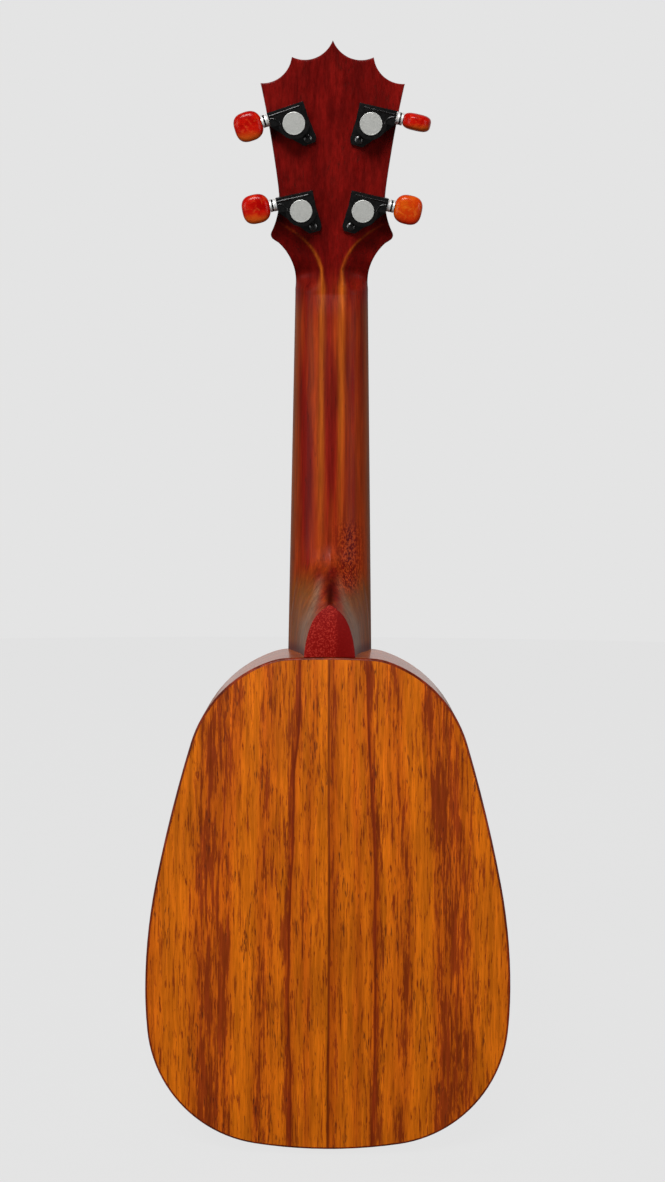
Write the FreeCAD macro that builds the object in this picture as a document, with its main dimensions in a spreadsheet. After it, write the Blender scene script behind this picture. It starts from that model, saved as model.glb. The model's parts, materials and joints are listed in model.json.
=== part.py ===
import FreeCAD, Part
import math
import os
import Sketcher

# A soprano pineapple ukulele, hung by its neck, in millimetres.
# +Z runs up the neck, the back faces -Y and the strings face +Y.
# The origin is on the centre line, in the plane where neck and fingerboard are glued, at the nut line.

Vector = FreeCAD.Vector
Rotation = FreeCAD.Rotation
Placement = FreeCAD.Placement

doc = FreeCAD.newDocument("pineapple_ukulele")
sheet = doc.addObject("Spreadsheet::Sheet", "sizes")

DRIVING_SIZES = {
    # body
    "scale_length": 346,
    "body_length": 237,
    "body_width": 175.6,
    "depth_at_neck": 54,
    "depth_at_tail": 62,
    "top_corner_radius": 27.7,
    "shoulder_radius": 59.8,
    "widest_radius": 264,
    "tail_flank_radius": 202,
    "tail_corner_radius": 61.3,
    "soundboard_thickness": 1.8,
    "back_thickness": 1.8,
    "rib_thickness": 2,
    "lining_width": 4,
    "lining_height": 6,
    "neck_block_width": 46,
    "neck_block_length": 20,
    "tail_block_width": 40,
    "tail_block_length": 12,
    "brace_width": 6,
    "brace_height": 7,
    "seam_strip_width": 14,
    "seam_strip_thickness": 2,
    "patch_length": 70,
    "patch_width": 28,
    "patch_thickness": 1.5,
    "hole_diameter": 50,
    "hole_drop": 64,
    "rosette_gap": 2.5,
    "rosette_width": 4,
    "rosette_depth": 0.6,
    # neck
    "nut_width": 36.5,
    "joint_width": 42,
    "neck_depth_at_nut": 14,
    "neck_depth_at_heel": 17,
    "heel_length": 62,
    "heel_cap_width": 24.5,
    "heel_cap_length": 25,
    "heel_cap_thickness": 2,
    "dowel_radius": 4,
    "dowel_reach": 14,
    "head_angle": 12,
    "head_thickness": 12,
    "veneer_thickness": 1.6,
    "head_length": 121.8,
    "crown_width": 69.4,
    "waist_width": 52.2,
    "ear_width": 60.5,
    "fingerboard_thickness": 4.5,
    "fingerboard_overhang": 3,
    "fret_count": 12,
    "fret_width": 2,
    "fret_height": 1,
    "tang_width": 0.6,
    "tang_depth": 1.5,
    "marker_radius": 2.5,
    "marker_depth": 1,
    "nut_length": 5,
    "nut_height": 6.8,
    "nut_slot_height": 6,
    # bridge and strings
    "bridge_length": 62,
    "bridge_width": 18,
    "bridge_height": 8,
    "saddle_length": 50,
    "saddle_thickness": 3,
    "saddle_rise": 2.5,
    "saddle_seat": 3,
    "spread_at_nut": 28,
    "spread_at_bridge": 40,
    "string_clearance": 0.05,
    "knot_radius": 1.3,
    # tuners
    "upper_post_x": 18.5,
    "upper_post_z": 83.3,
    "lower_post_x": 15,
    "lower_post_z": 42.1,
    "shaft_tilt": 12,
    "post_radius": 2.8,
    "post_height": 9,
    "post_hole_gap": 0.8,
    "bushing_wall": 1.6,
    "bushing_length": 6,
    "washer_rim": 2.8,
    "washer_thickness": 1.2,
    "gear_module": 0.5,
    "wheel_teeth": 14,
    "wheel_thickness": 2.6,
    "worm_pitch_radius": 1.8,
    "worm_height": 4.6,
    "housing_radius": 7.4,
    "housing_height": 8.2,
    "housing_floor": 1.8,
    "arm_length": 11,
    "arm_low": 1.5,
    "arm_wall": 0.9,
    "shoulder_height": 5,
    "cover_radius": 5.4,
    "cover_thickness": 1,
    "cover_seat": 7.6,
    "flange_thickness": 1.6,
    "screw_radius": 1.1,
    "screw_length": 7,
    "screw_head_radius": 2,
    "screw_head_height": 0.9,
    "journal_radius": 1.5,
    "stub_radius": 1.2,
    "collar_radius": 3,
    "collar_length": 2.7,
    "collar_groove_radius": 2.3,
    "collar_groove_length": 0.9,
    "shaft_washer_thickness": 0.7,
    "button_length": 13.7,
    "button_width": 14,
    "button_thickness": 8,
    "button_stem_radius": 1.3,
    "running_clearance": 0.05,
    "overshoot": 10,
}

for row, (alias, number) in enumerate(DRIVING_SIZES.items(), start=1):
    sheet.set("A%d" % row, str(number))
    sheet.setAlias("A%d" % row, alias)
doc.recompute()


def size(alias):
    return float(sheet.get(alias))


def formula_value(formula):
    if isinstance(formula, str):
        found = sheet.evalExpression(formula.replace("sizes.", ""))
        return float(getattr(found, "Value", found))
    return float(formula)


# The strings from the bass side, which is +X: gauge, post side and row, and in degrees how far the
# machine leans past the usual shaft tilt and how far its button stands turned.
STRINGS = [
    {"name": "g", "gauge": 0.65, "side": 1, "row": "lower", "lean": 0, "button_turn": 0},
    {"name": "c", "gauge": 0.91, "side": 1, "row": "upper", "lean": 0, "button_turn": 90},
    {"name": "e", "gauge": 0.81, "side": -1, "row": "upper", "lean": 6, "button_turn": 0},
    {"name": "a", "gauge": 0.60, "side": -1, "row": "lower", "lean": 0, "button_turn": 0},
]

BODY_TOP = "-sizes.scale_length / 2"
SADDLE_Z = "-sizes.scale_length"
BACK_TILT = math.degrees(
    math.atan2(size("depth_at_tail") - size("depth_at_neck"), size("body_length"))
)
ALONG_Y = Rotation(Vector(1, 0, 0), -90)
pieces = []


# ---- helpers for primitives and booleans, with sizes bound to the sheet ----


def bind(thing, formulas):
    for name, formula in formulas.items():
        if isinstance(formula, str):
            thing.setExpression(name, formula)
        elif name.startswith("Placement.Base."):
            base = thing.Placement.Base
            setattr(base, name[-1], formula)
            thing.Placement.Base = base
        else:
            setattr(thing, name, formula)


def box(name, lengths, corner):
    made = doc.addObject("Part::Box", name)
    bind(made, dict(zip(("Length", "Width", "Height"), lengths)))
    bind(made, dict(zip(("Placement.Base.x", "Placement.Base.y", "Placement.Base.z"), corner)))
    return made


def cylinder(name, radius, length, start, turn=Rotation()):
    made = doc.addObject("Part::Cylinder", name)
    made.Placement = Placement(Vector(), turn)
    bind(made, {"Radius": radius, "Height": length})
    bind(made, dict(zip(("Placement.Base.x", "Placement.Base.y", "Placement.Base.z"), start)))
    return made


def joined(name, things):
    if len(things) == 1:
        return things[0]
    made = doc.addObject("Part::MultiFuse", name)
    made.Shapes = things
    return made


def cut(name, base, *tools):
    made = doc.addObject("Part::Cut", name)
    made.Base = base
    made.Tool = joined(name + "_tools", list(tools))
    return made


def common(name, *things):
    made = doc.addObject("Part::MultiCommon", name)
    made.Shapes = list(things)
    return made


def group(name, things):
    made = doc.addObject("Part::Compound", name)
    made.Links = things
    return made


def piece(label, thing):
    thing.Label = label
    pieces.append(thing)
    return thing


# ---- helpers for bodies and sketches ----


def origin_plane(body, role):
    return [feature for feature in body.Origin.OriginFeatures if feature.Role == role][0]


def sketch_on(body, name, role, offset=Placement()):
    made = body.newObject("Sketcher::SketchObject", name)
    made.AttachmentSupport = [(origin_plane(body, role), "")]
    made.MapMode = "FlatFace"
    made.AttachmentOffset = offset
    return made


def bind_point(sketch, edge, end, x, y):
    for kind, formula in (("DistanceX", x), ("DistanceY", y)):
        at = sketch.addConstraint(
            Sketcher.Constraint(kind, -1, 1, edge, end, formula_value(formula))
        )
        if isinstance(formula, str):
            sketch.setExpression("Constraints[%d]" % at, formula)


def draw_polygon(sketch, corners):
    spots = [Vector(formula_value(x), formula_value(y), 0) for x, y in corners]
    first = sketch.GeometryCount
    count = len(spots)
    for n in range(count):
        sketch.addGeometry(Part.LineSegment(spots[n], spots[(n + 1) % count]))
    for n in range(count):
        after = first + (n + 1) % count
        sketch.addConstraint(Sketcher.Constraint("Coincident", first + n, 2, after, 1))
    for n, (x, y) in enumerate(corners):
        bind_point(sketch, first + n, 1, x, y)


def draw_circle(sketch, x, y, radius):
    middle = Vector(formula_value(x), formula_value(y), 0)
    at = sketch.addGeometry(Part.Circle(middle, Vector(0, 0, 1), formula_value(radius)))
    bind_point(sketch, at, 3, x, y)
    held = sketch.addConstraint(Sketcher.Constraint("Radius", at, formula_value(radius)))
    if isinstance(radius, str):
        sketch.setExpression("Constraints[%d]" % held, radius)


def draw_edges(sketch, edges):
    for edge in edges:
        sketch.addGeometry(edge)


def pad(body, sketch, length, reverse=False, midplane=False):
    made = body.newObject("PartDesign::Pad", sketch.Name + "_pad")
    made.Profile = sketch
    made.Reversed = reverse
    made.Midplane = midplane
    bind(made, {"Length": length})
    doc.recompute()
    return made


def pocket(body, sketch, length, reverse=False, midplane=False):
    before = body.Shape.Volume
    made = body.newObject("PartDesign::Pocket", sketch.Name + "_pocket")
    made.Profile = sketch
    made.Reversed = reverse
    made.Midplane = midplane
    bind(made, {"Length": length})
    doc.recompute()
    if body.Shape.Volume > before - 1e-6:
        raise RuntimeError(made.Name + " removed nothing")
    return made


def revolve(body, sketch, axis):
    made = body.newObject("PartDesign::Revolution", sketch.Name + "_turned")
    made.Profile = sketch
    made.ReferenceAxis = (sketch, [axis])
    made.Angle = 360
    doc.recompute()
    return made


def loft(body, sketches):
    made = body.newObject("PartDesign::AdditiveLoft", sketches[0].Name + "_loft")
    made.Profile = sketches[0]
    made.Sections = sketches[1:]
    doc.recompute()
    return made


# ---- the body outline: a chain of arcs, each tangent to the next ----

# Heading of the outline at each arc's two ends, in degrees from +X turning down, on the +X side.
OUTLINE_HEADINGS = [
    (0, 3.1),
    (3.1, 18.5),
    (18.5, 73.3),
    (73.3, 79),
    (79, 90),
    (90, 95.9),
    (95.9, 171.5),
    (171.5, 180),
]


def run_across(headings):
    return math.sin(math.radians(headings[1])) - math.sin(math.radians(headings[0]))


def run_down(headings):
    return math.cos(math.radians(headings[0])) - math.cos(math.radians(headings[1]))


def outline_radii():
    # The top, flank and tail arcs take whatever radius makes the given width and length come out.
    top, corner, shoulder, flank, widest, tail_flank, tail_corner, tail = OUTLINE_HEADINGS
    known = {
        corner: size("top_corner_radius"),
        shoulder: size("shoulder_radius"),
        widest: size("widest_radius"),
        tail_flank: size("tail_flank_radius"),
        tail_corner: size("tail_corner_radius"),
    }
    half_width = size("body_width") / 2
    lower = sum(known[arc] * run_across(arc) for arc in (tail_flank, tail_corner))
    known[tail] = (-half_width - lower) / run_across(tail)
    upper = sum(known[arc] * run_across(arc) for arc in (corner, shoulder, widest))
    across = half_width - upper
    down = size("body_length") - sum(radius * run_down(arc) for arc, radius in known.items())
    spread = run_across(top) * run_down(flank) - run_across(flank) * run_down(top)
    known[top] = (across * run_down(flank) - down * run_across(flank)) / spread
    known[flank] = (down * run_across(top) - across * run_down(top)) / spread
    return [known[arc] for arc in OUTLINE_HEADINGS]


def outline_edges(inset):
    # Closed, clockwise from the top of the body, as arcs in the sketch plane whose axes are X and Z.
    x = 0.0
    z = formula_value(BODY_TOP) - inset
    right = []
    for (start, end), radius in zip(OUTLINE_HEADINGS, outline_radii()):
        points = []
        for heading in (start, (start + end) / 2, end):
            turn = (start, heading)
            drawn = radius - inset
            points.append((x + drawn * run_across(turn), z - drawn * run_down(turn)))
        right.append(points)
        x, z = points[-1]
    edges = []
    for first, middle, last in right:
        edges.append(Part.Arc(Vector(*first), Vector(*middle), Vector(*last)))
    for first, middle, last in reversed(right):
        flipped = [Vector(-px, pz) for px, pz in (last, middle, first)]
        edges.append(Part.Arc(*flipped))
    return edges


def outline_prism(name, inset, front, depth):
    # The outline drawn in by inset, from front behind the gluing plane, and depth deep.
    body = doc.addObject("PartDesign::Body", name)
    lowered = Placement(Vector(0, 0, formula_value(front)), Rotation())
    sketch = sketch_on(body, name + "_outline", "XZ_Plane", lowered)
    draw_edges(sketch, outline_edges(inset))
    pad(body, sketch, depth)
    return body


def back_slab(name, inset, thickness):
    # A tilted slab along the back: its rear face lies inset in front of the back's outer face.
    made = doc.addObject("Part::Box", name)
    reach = "2 * sizes.body_length"
    bind(made, {"Length": "2 * sizes.body_width", "Width": thickness, "Height": reach})
    turn = Rotation(Vector(1, 0, 0), -BACK_TILT)
    edge = Vector(0, -size("depth_at_neck"), formula_value(BODY_TOP))
    corner = Vector(-size("body_width"), inset, -1.5 * size("body_length"))
    made.Placement = Placement(edge + turn.multVec(corner), turn)
    return made


def half_space(name, side):
    start = 0 if side > 0 else "-sizes.body_width"
    return box(
        name,
        ("sizes.body_width", "4 * sizes.depth_at_tail", "3 * sizes.scale_length"),
        (start, "-2 * sizes.depth_at_tail", "-2.5 * sizes.scale_length"),
    )


# ---- body of the ukulele ----

deepest = "sizes.depth_at_tail + 20"
outer_prism = outline_prism("outer_prism", 0, 0, deepest)
rib_prism = outline_prism("rib_prism", 0, "sizes.soundboard_thickness", deepest)
inner_prism = outline_prism("inner_prism", size("rib_thickness"), 0, deepest)
inside_linings = size("rib_thickness") + size("lining_width")
lining_prism = outline_prism("lining_prism", inside_linings, 0, deepest)
slab_depth = size("depth_at_tail")
behind_back = back_slab("behind_back", size("back_thickness") - slab_depth, slab_depth)
halves = {"left": half_space("left_half", -1), "right": half_space("right_half", 1)}
dowel_y = "-sizes.depth_at_neck / 2"
hole_z = "-sizes.scale_length / 2 - sizes.hole_drop"


def dowel_solid(name):
    return cylinder(
        name,
        "sizes.dowel_radius",
        "2 * sizes.dowel_reach",
        (0, dowel_y, "-sizes.scale_length / 2 - sizes.dowel_reach"),
    )


def hole_ring(name, radius, start, length):
    return cylinder(name, radius, length, (0, start, hole_z), ALONG_Y)


def make_rosette():
    inner = "sizes.hole_diameter / 2 + sizes.rosette_gap"
    outer = inner + " + sizes.rosette_width"
    start = "-sizes.rosette_depth"
    disc = hole_ring("rosette_disc", outer, start, "sizes.rosette_depth")
    middle = hole_ring("rosette_middle", inner, start, "sizes.rosette_depth")
    return piece("rosette", cut("rosette_ring", disc, middle))


def make_soundboard(rosette):
    board = outline_prism("soundboard_blank", 0, 0, "sizes.soundboard_thickness")
    hole = hole_ring("sound_hole", "sizes.hole_diameter / 2", "-sizes.overshoot", "2 * sizes.overshoot")
    for side, half in halves.items():
        part = common("soundboard_%s_blank" % side, board, half)
        piece("soundboard_" + side, cut("soundboard_%s_cut" % side, part, hole, rosette))


def make_back():
    slab = back_slab("back_plane", 0, "sizes.back_thickness")
    for side, half in halves.items():
        piece("back_" + side, common("back_%s_common" % side, outer_prism, slab, half))


def make_sides():
    dowel_hole = dowel_solid("rib_dowel_hole")
    ring = cut("rib_ring", rib_prism, inner_prism, behind_back, dowel_hole)
    for side, half in halves.items():
        piece("side_" + side, common("side_%s_common" % side, ring, half))


def make_blocks():
    dowel_hole = dowel_solid("block_dowel_hole")
    front = "-sizes.soundboard_thickness"
    neck_zone = box(
        "neck_block_zone",
        ("sizes.neck_block_width", deepest, "sizes.neck_block_length + 10"),
        (
            "-sizes.neck_block_width / 2",
            "-(" + deepest + ")" + front,
            BODY_TOP + " - sizes.neck_block_length",
        ),
    )
    tail_zone = box(
        "tail_block_zone",
        ("sizes.tail_block_width", deepest, "sizes.tail_block_length + 10"),
        (
            "-sizes.tail_block_width / 2",
            "-(" + deepest + ")" + front,
            BODY_TOP + " - sizes.body_length - 10",
        ),
    )
    neck_blank = common("neck_block_blank", neck_zone, inner_prism)
    tail_blank = common("tail_block_blank", tail_zone, inner_prism)
    piece("neck_block", cut("neck_block_cut", neck_blank, behind_back, dowel_hole))
    piece("tail_block", cut("tail_block_cut", tail_blank, behind_back))
    return neck_zone, tail_zone


def make_linings(zones):
    front = box(
        "top_lining_zone",
        ("2 * sizes.body_width", "sizes.lining_height", "3 * sizes.body_length"),
        (
            "-sizes.body_width",
            "-sizes.soundboard_thickness - sizes.lining_height",
            BODY_TOP + " - 2 * sizes.body_length",
        ),
    )
    rear = back_slab("back_lining_zone", size("back_thickness"), "sizes.lining_height")
    for name, zone in (("top_linings", front), ("back_linings", rear)):
        ring = common(name + "_ring", inner_prism, zone)
        piece(name, cut(name + "_cut", ring, lining_prism, *zones))


def make_top_bracing():
    # One bar each side of the sound hole, and a patch under the bridge.
    bars = []
    reach = "(sizes.hole_diameter / 2 + 10)"
    for name, step in (("upper_bar", reach), ("lower_bar", "-" + reach)):
        corner = (
            "-sizes.body_width",
            "-sizes.soundboard_thickness - sizes.brace_height",
            hole_z + " + " + step + " - sizes.brace_width / 2",
        )
        lengths = ("2 * sizes.body_width", "sizes.brace_height", "sizes.brace_width")
        bars.append(common(name, box(name + "_stock", lengths, corner), lining_prism))
    piece("top_braces", group("top_brace_pair", bars))
    patch = box(
        "patch_board",
        ("sizes.patch_length", "sizes.patch_thickness", "sizes.patch_width"),
        (
            "-sizes.patch_length / 2",
            "-sizes.soundboard_thickness - sizes.patch_thickness",
            SADDLE_Z + " - sizes.patch_width / 2 - 4",
        ),
    )
    piece("bridge_patch", patch)


def make_back_bracing():
    layer = back_slab("back_brace_layer", size("back_thickness"), "sizes.brace_height")
    thin = back_slab("seam_strip_layer", size("back_thickness"), "sizes.seam_strip_thickness")
    stocks = []
    for n, share in enumerate((0.3, 0.65), start=1):
        lengths = ("2 * sizes.body_width", deepest, "sizes.brace_width")
        drop = " - %g * sizes.body_length - sizes.brace_width / 2" % share
        corner = ("-sizes.body_width", "-(" + deepest + ")", BODY_TOP + drop)
        stocks.append(box("back_bar_%d" % n, lengths, corner))
    bars = []
    for n, stock in enumerate(stocks, start=1):
        bars.append(common("back_brace_%d" % n, stock, layer, lining_prism))
    piece("back_braces", group("back_brace_pair", bars))
    gap = "sizes.body_length - sizes.neck_block_length - sizes.tail_block_length"
    strip = box(
        "seam_strip_stock",
        ("sizes.seam_strip_width", deepest, gap),
        (
            "-sizes.seam_strip_width / 2",
            "-(" + deepest + ")",
            BODY_TOP + " - sizes.body_length + sizes.tail_block_length",
        ),
    )
    blank = common("seam_strip_blank", strip, thin)
    piece("back_seam_strip", cut("seam_strip_cut", blank, *stocks))


# ---- neck ----


def neck_section(body, name, z, width, depth):
    # Flat on top at the gluing plane, half an ellipse behind it.
    sketch = sketch_on(body, name, "XY_Plane", Placement(Vector(0, 0, z), Rotation()))
    half = width / 2
    arc = Part.Ellipse(Vector(half, 0), Vector(0, depth), Vector())
    sketch.addGeometry(Part.LineSegment(Vector(half, 0), Vector(-half, 0)))
    sketch.addGeometry(Part.ArcOfEllipse(arc, math.pi, 2 * math.pi))
    return sketch


# The arch of the heel: points up its side as shares of its half width and of its rise.
ARCH_SHARES = [(1, 0), (0.955, 0.35), (0.79, 0.62), (0.465, 0.86), (0, 1)]


def arch_edges(half, tip, foot):
    # A blunt arch on a level line: half wide each side, its tip above the foot, two arcs a side.
    right = [Vector(half * x, foot + (tip - foot) * rise) for x, rise in ARCH_SHARES]
    left = [Vector(-point.x, point.y) for point in reversed(right)]
    return [
        Part.LineSegment(left[4], right[0]),
        Part.Arc(*right[:3]),
        Part.Arc(*right[2:]),
        Part.Arc(*left[:3]),
        Part.Arc(*left[2:]),
    ]


def head_placement():
    # Sketch axes on the tilted headstock: X across, Y up along its front face.
    return Placement(Vector(0, size("nut_length"), 0), Rotation(Vector(1, 0, 0), size("head_angle")))


def crown_edges():
    # Five points joined by scallops, tapering sides, and two ears above the neck.
    top = size("head_length")
    crown = size("crown_width") / 2
    waist = size("waist_width") / 2
    ear = size("ear_width") / 2
    neck = size("nut_width") / 2
    inner = (0.565 * crown, top - 7.7)
    outer = (crown, top - 19.9)
    waist_z = outer[1] - 50.5
    ear_z = waist_z - 20.9
    right = [
        ((0, top), (0.243 * crown, top - 8.1), inner),
        (inner, (0.757 * crown, top - 17.8), outer),
        (outer, ((crown + waist) / 2 - 0.6, (outer[1] + waist_z) / 2), (waist, waist_z)),
        ((waist, waist_z), (waist + 1.1, ear_z + 7.7), (ear, ear_z)),
        ((ear, ear_z), (ear - 0.6, ear_z - 2.3), (ear - 2.9, ear_z - 3.7)),
        ((ear - 2.9, ear_z - 3.7), (neck + 2.4, ear_z - 12), (neck, 3)),
    ]
    edges = [Part.Arc(Vector(*a), Vector(*b), Vector(*c)) for a, b, c in right]
    edges.append(Part.LineSegment(Vector(neck, 3), Vector(neck, 0)))
    edges.append(Part.LineSegment(Vector(neck, 0), Vector(-neck, 0)))
    edges.append(Part.LineSegment(Vector(-neck, 0), Vector(-neck, 3)))
    for a, b, c in reversed(right):
        flipped = [Vector(-px, pz) for px, pz in (c, b, a)]
        edges.append(Part.Arc(*flipped))
    return edges


def make_neck_blank():
    body = doc.addObject("PartDesign::Body", "neck_blank")
    foot = formula_value(BODY_TOP) - 5
    run = size("nut_length") - foot
    shaft_length = -formula_value(BODY_TOP)
    depth_slope = (size("neck_depth_at_heel") - size("neck_depth_at_nut")) / shaft_length
    width_slope = (size("joint_width") - size("nut_width")) / shaft_length
    top_section = neck_section(
        body, "shaft_top", size("nut_length"), size("nut_width"), size("neck_depth_at_nut")
    )
    foot_section = neck_section(
        body,
        "shaft_foot",
        foot,
        size("nut_width") + width_slope * run,
        size("neck_depth_at_nut") + depth_slope * run,
    )
    loft(body, [top_section, foot_section])
    head = sketch_on(body, "head_outline", "XZ_Plane", head_placement())
    draw_edges(head, crown_edges())
    pad(body, head, "sizes.head_thickness")
    # The heel: pointed arches that narrow and shorten towards the cap.
    floor = size("depth_at_neck") - size("heel_cap_thickness")
    start = 0.45 * size("neck_depth_at_heel")
    sections = []
    for n, share in enumerate((0, 0.3, 0.62, 1)):
        level = start + (floor - start) * share
        ease = (1 - share) ** 1.8
        half = size("heel_cap_width") / 2
        half += (size("joint_width") / 2 - 0.8 - half) * (1 - share) ** 1.2
        reach = size("heel_cap_length") + (size("heel_length") - size("heel_cap_length")) * ease
        section = sketch_on(body, "heel_%d" % n, "XZ_Plane", Placement(Vector(0, 0, level), Rotation()))
        draw_edges(section, arch_edges(half, formula_value(BODY_TOP) + reach, foot))
        sections.append(section)
    loft(body, sections)
    return body


def tuner_spot(string):
    # Post centre in headstock axes: across, and up along the face.
    x = string["side"] * size(string["row"] + "_post_x")
    return x, size(string["row"] + "_post_z")


def tuner_placement(string, shift=Vector()):
    # Tuner axes: Z away from the headstock's back, X outward along the tilted knob shaft.
    across, up = tuner_spot(string)
    lean = Rotation(Vector(1, 0, 0), size("head_angle"))
    along_face = Vector(across, -size("head_thickness"), up)
    base = Vector(0, 0, size("nut_length")) + lean.multVec(along_face)
    tilt = -string["side"] * (size("shaft_tilt") + string["lean"])
    turn = lean.multiply(Rotation(Vector(1, 0, 0), 90))
    turn = turn.multiply(Rotation(Vector(0, 0, 1), tilt))
    return Placement(base, turn).multiply(Placement(shift, Rotation()))


def tuner_cylinder(name, string, radius, start, length, x=0.0, y=0.0):
    made = doc.addObject("Part::Cylinder", "%s_%s" % (name, string["name"]))
    bind(made, {"Radius": radius, "Height": length})
    made.Placement = tuner_placement(string, Vector(x, y, formula_value(start)))
    return made


# Corners of the housing's screw plate, and its screw, as shares of the housing radius: inward
# from the post, and along the headstock.
PLATE_CORNERS = [(1, 0), (1.11, -1.24), (0.95, -1.54), (0.2, -1.58), (-0.61, -0.74)]
SCREW_SHARES = (0.55, -1.18)


def plate_point(string, shares):
    radius = size("housing_radius")
    return Vector(-string["side"] * radius * shares[0], radius * shares[1])


def screw_spot(string):
    spot = plate_point(string, SCREW_SHARES)
    return spot.x, spot.y


FRONT = "-(sizes.head_thickness + sizes.veneer_thickness)"


def make_neck():
    blank = make_neck_blank()
    tools = [outer_prism, dowel_solid("heel_dowel_hole")]
    for string in STRINGS:
        x, y = screw_spot(string)
        tools.append(
            tuner_cylinder(
                "post_hole",
                string,
                "sizes.post_radius + sizes.post_hole_gap",
                "-sizes.head_thickness - sizes.overshoot",
                "sizes.head_thickness + 2 * sizes.overshoot",
            )
        )
        tools.append(
            tuner_cylinder(
                "bushing_hole",
                string,
                "sizes.post_radius + sizes.bushing_wall",
                FRONT,
                "sizes.bushing_length",
            )
        )
        tools.append(
            tuner_cylinder(
                "screw_hole",
                string,
                "sizes.screw_radius",
                "-sizes.screw_length",
                "sizes.screw_length + sizes.overshoot",
                x,
                y,
            )
        )
    piece("neck", cut("neck_cut", blank, *tools))


def make_heel_cap():
    body = doc.addObject("PartDesign::Body", "heel_cap_blank")
    level = size("depth_at_neck") - size("heel_cap_thickness")
    foot = formula_value(BODY_TOP) - 5
    sketch = sketch_on(body, "heel_cap_arch", "XZ_Plane", Placement(Vector(0, 0, level), Rotation()))
    tip = formula_value(BODY_TOP) + size("heel_cap_length")
    draw_edges(sketch, arch_edges(size("heel_cap_width") / 2, tip, foot))
    pad(body, sketch, "sizes.heel_cap_thickness")
    piece("heel_cap", cut("heel_cap_cut", body, outer_prism))


def make_veneer():
    body = doc.addObject("PartDesign::Body", "veneer_blank")
    sketch = sketch_on(body, "veneer_outline", "XZ_Plane", head_placement())
    draw_edges(sketch, crown_edges())
    pad(body, sketch, "sizes.veneer_thickness", reverse=True)
    radius = "sizes.post_radius + sizes.bushing_wall"
    low = FRONT + " - sizes.overshoot"
    depth = "sizes.veneer_thickness + 2 * sizes.overshoot"
    holes = [tuner_cylinder("veneer_hole", string, radius, low, depth) for string in STRINGS]
    piece("head_veneer", cut("veneer_cut", body, *holes))


def fret_z(number):
    return -size("scale_length") * (1 - 2 ** (-number / 12))


def board_width(z):
    return size("nut_width") + (size("joint_width") - size("nut_width")) * z / formula_value(BODY_TOP)


def fret_solid(number):
    z = fret_z(number)
    width = board_width(z)
    top = size("fingerboard_thickness")
    half = size("fret_width") / 2
    tang = size("tang_width") / 2
    spots = [(top, half), (top, tang), (top - size("tang_depth"), tang)]
    spots += [(y, -dz) for y, dz in reversed(spots)]
    points = [Vector(-width / 2, y, z + dz) for y, dz in spots]
    edges = [Part.makeLine(a, b) for a, b in zip(points, points[1:])]
    crown = Vector(-width / 2, top + size("fret_height"), z)
    edges.append(Part.Arc(points[-1], crown, points[0]).toShape())
    return Part.Face(Part.Wire(edges)).extrude(Vector(width, 0, 0))


def make_fingerboard():
    frets = doc.addObject("Part::Feature", "fret_set")
    numbers = range(1, int(size("fret_count")) + 1)
    frets.Shape = Part.makeCompound([fret_solid(number) for number in numbers])
    frets.Placement = Placement()
    piece("frets", frets)
    dots = []
    for number, across in ((5, 0), (7, 0), (10, 0), (12, -1), (12, 1)):
        z = (fret_z(number) + fret_z(number - 1)) / 2
        start = "sizes.fingerboard_thickness - sizes.marker_depth"
        spot = (across * board_width(z) / 4, start, z)
        name = "marker_%d_%d" % (number, across + 1)
        dots.append(cylinder(name, "sizes.marker_radius", "sizes.marker_depth", spot, ALONG_Y))
    markers = piece("fret_markers", group("marker_set", dots))
    body = doc.addObject("PartDesign::Body", "fingerboard_blank")
    sketch = sketch_on(body, "fingerboard_outline", "XZ_Plane")
    end = BODY_TOP + " - sizes.fingerboard_overhang"
    stretch = "(1 + 2 * sizes.fingerboard_overhang / sizes.scale_length)"
    half = "(sizes.nut_width + (sizes.joint_width - sizes.nut_width) * " + stretch + ") / 2"
    nut_half = "sizes.nut_width / 2"
    corners = [("-" + nut_half, 0), (nut_half, 0), (half, end), ("-" + half, end)]
    draw_polygon(sketch, corners)
    pad(body, sketch, "sizes.fingerboard_thickness", reverse=True)
    piece("fingerboard", cut("fingerboard_cut", body, frets, markers))


# ---- nut, bridge and strings ----


def string_x(number, spread):
    return spread * (0.5 - number / 3)


def make_nut():
    body = doc.addObject("PartDesign::Body", "nut_body")
    sketch = sketch_on(body, "nut_profile", "YZ_Plane")
    corners = [
        (0, 0),
        ("sizes.nut_height", 0),
        ("sizes.nut_height", "0.5 * sizes.nut_length"),
        ("sizes.nut_height - 1.2", "sizes.nut_length"),
        (0, "sizes.nut_length"),
    ]
    draw_polygon(sketch, corners)
    pad(body, sketch, "sizes.nut_width", midplane=True)
    floor = "sizes.nut_slot_height"
    bend = "0.3 * sizes.nut_length"
    top = "sizes.nut_height + 5"
    behind = "sizes.nut_length + 1"
    for number, string in enumerate(STRINGS):
        # The slot fits the string as far as its bend, then drops and flares towards the post.
        at = Placement(Vector(0, 0, string_x(number, size("spread_at_nut"))), Rotation())
        slot = sketch_on(body, "nut_slot_" + string["name"], "YZ_Plane", at)
        draw_polygon(slot, [(floor, -1), (floor, bend), (top, bend), (top, -1)])
        pocket(body, slot, "%g + 2 * sizes.string_clearance" % string["gauge"], midplane=True)
        flare = sketch_on(body, "nut_flare_" + string["name"], "YZ_Plane", at)
        dropped = floor + " - 0.24 * sizes.nut_length"
        draw_polygon(flare, [(floor, bend), (dropped, behind), (top, behind), (top, bend)])
        pocket(body, flare, "%g + 0.3 * sizes.nut_length" % string["gauge"], midplane=True)
    piece("nut", body)


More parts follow.
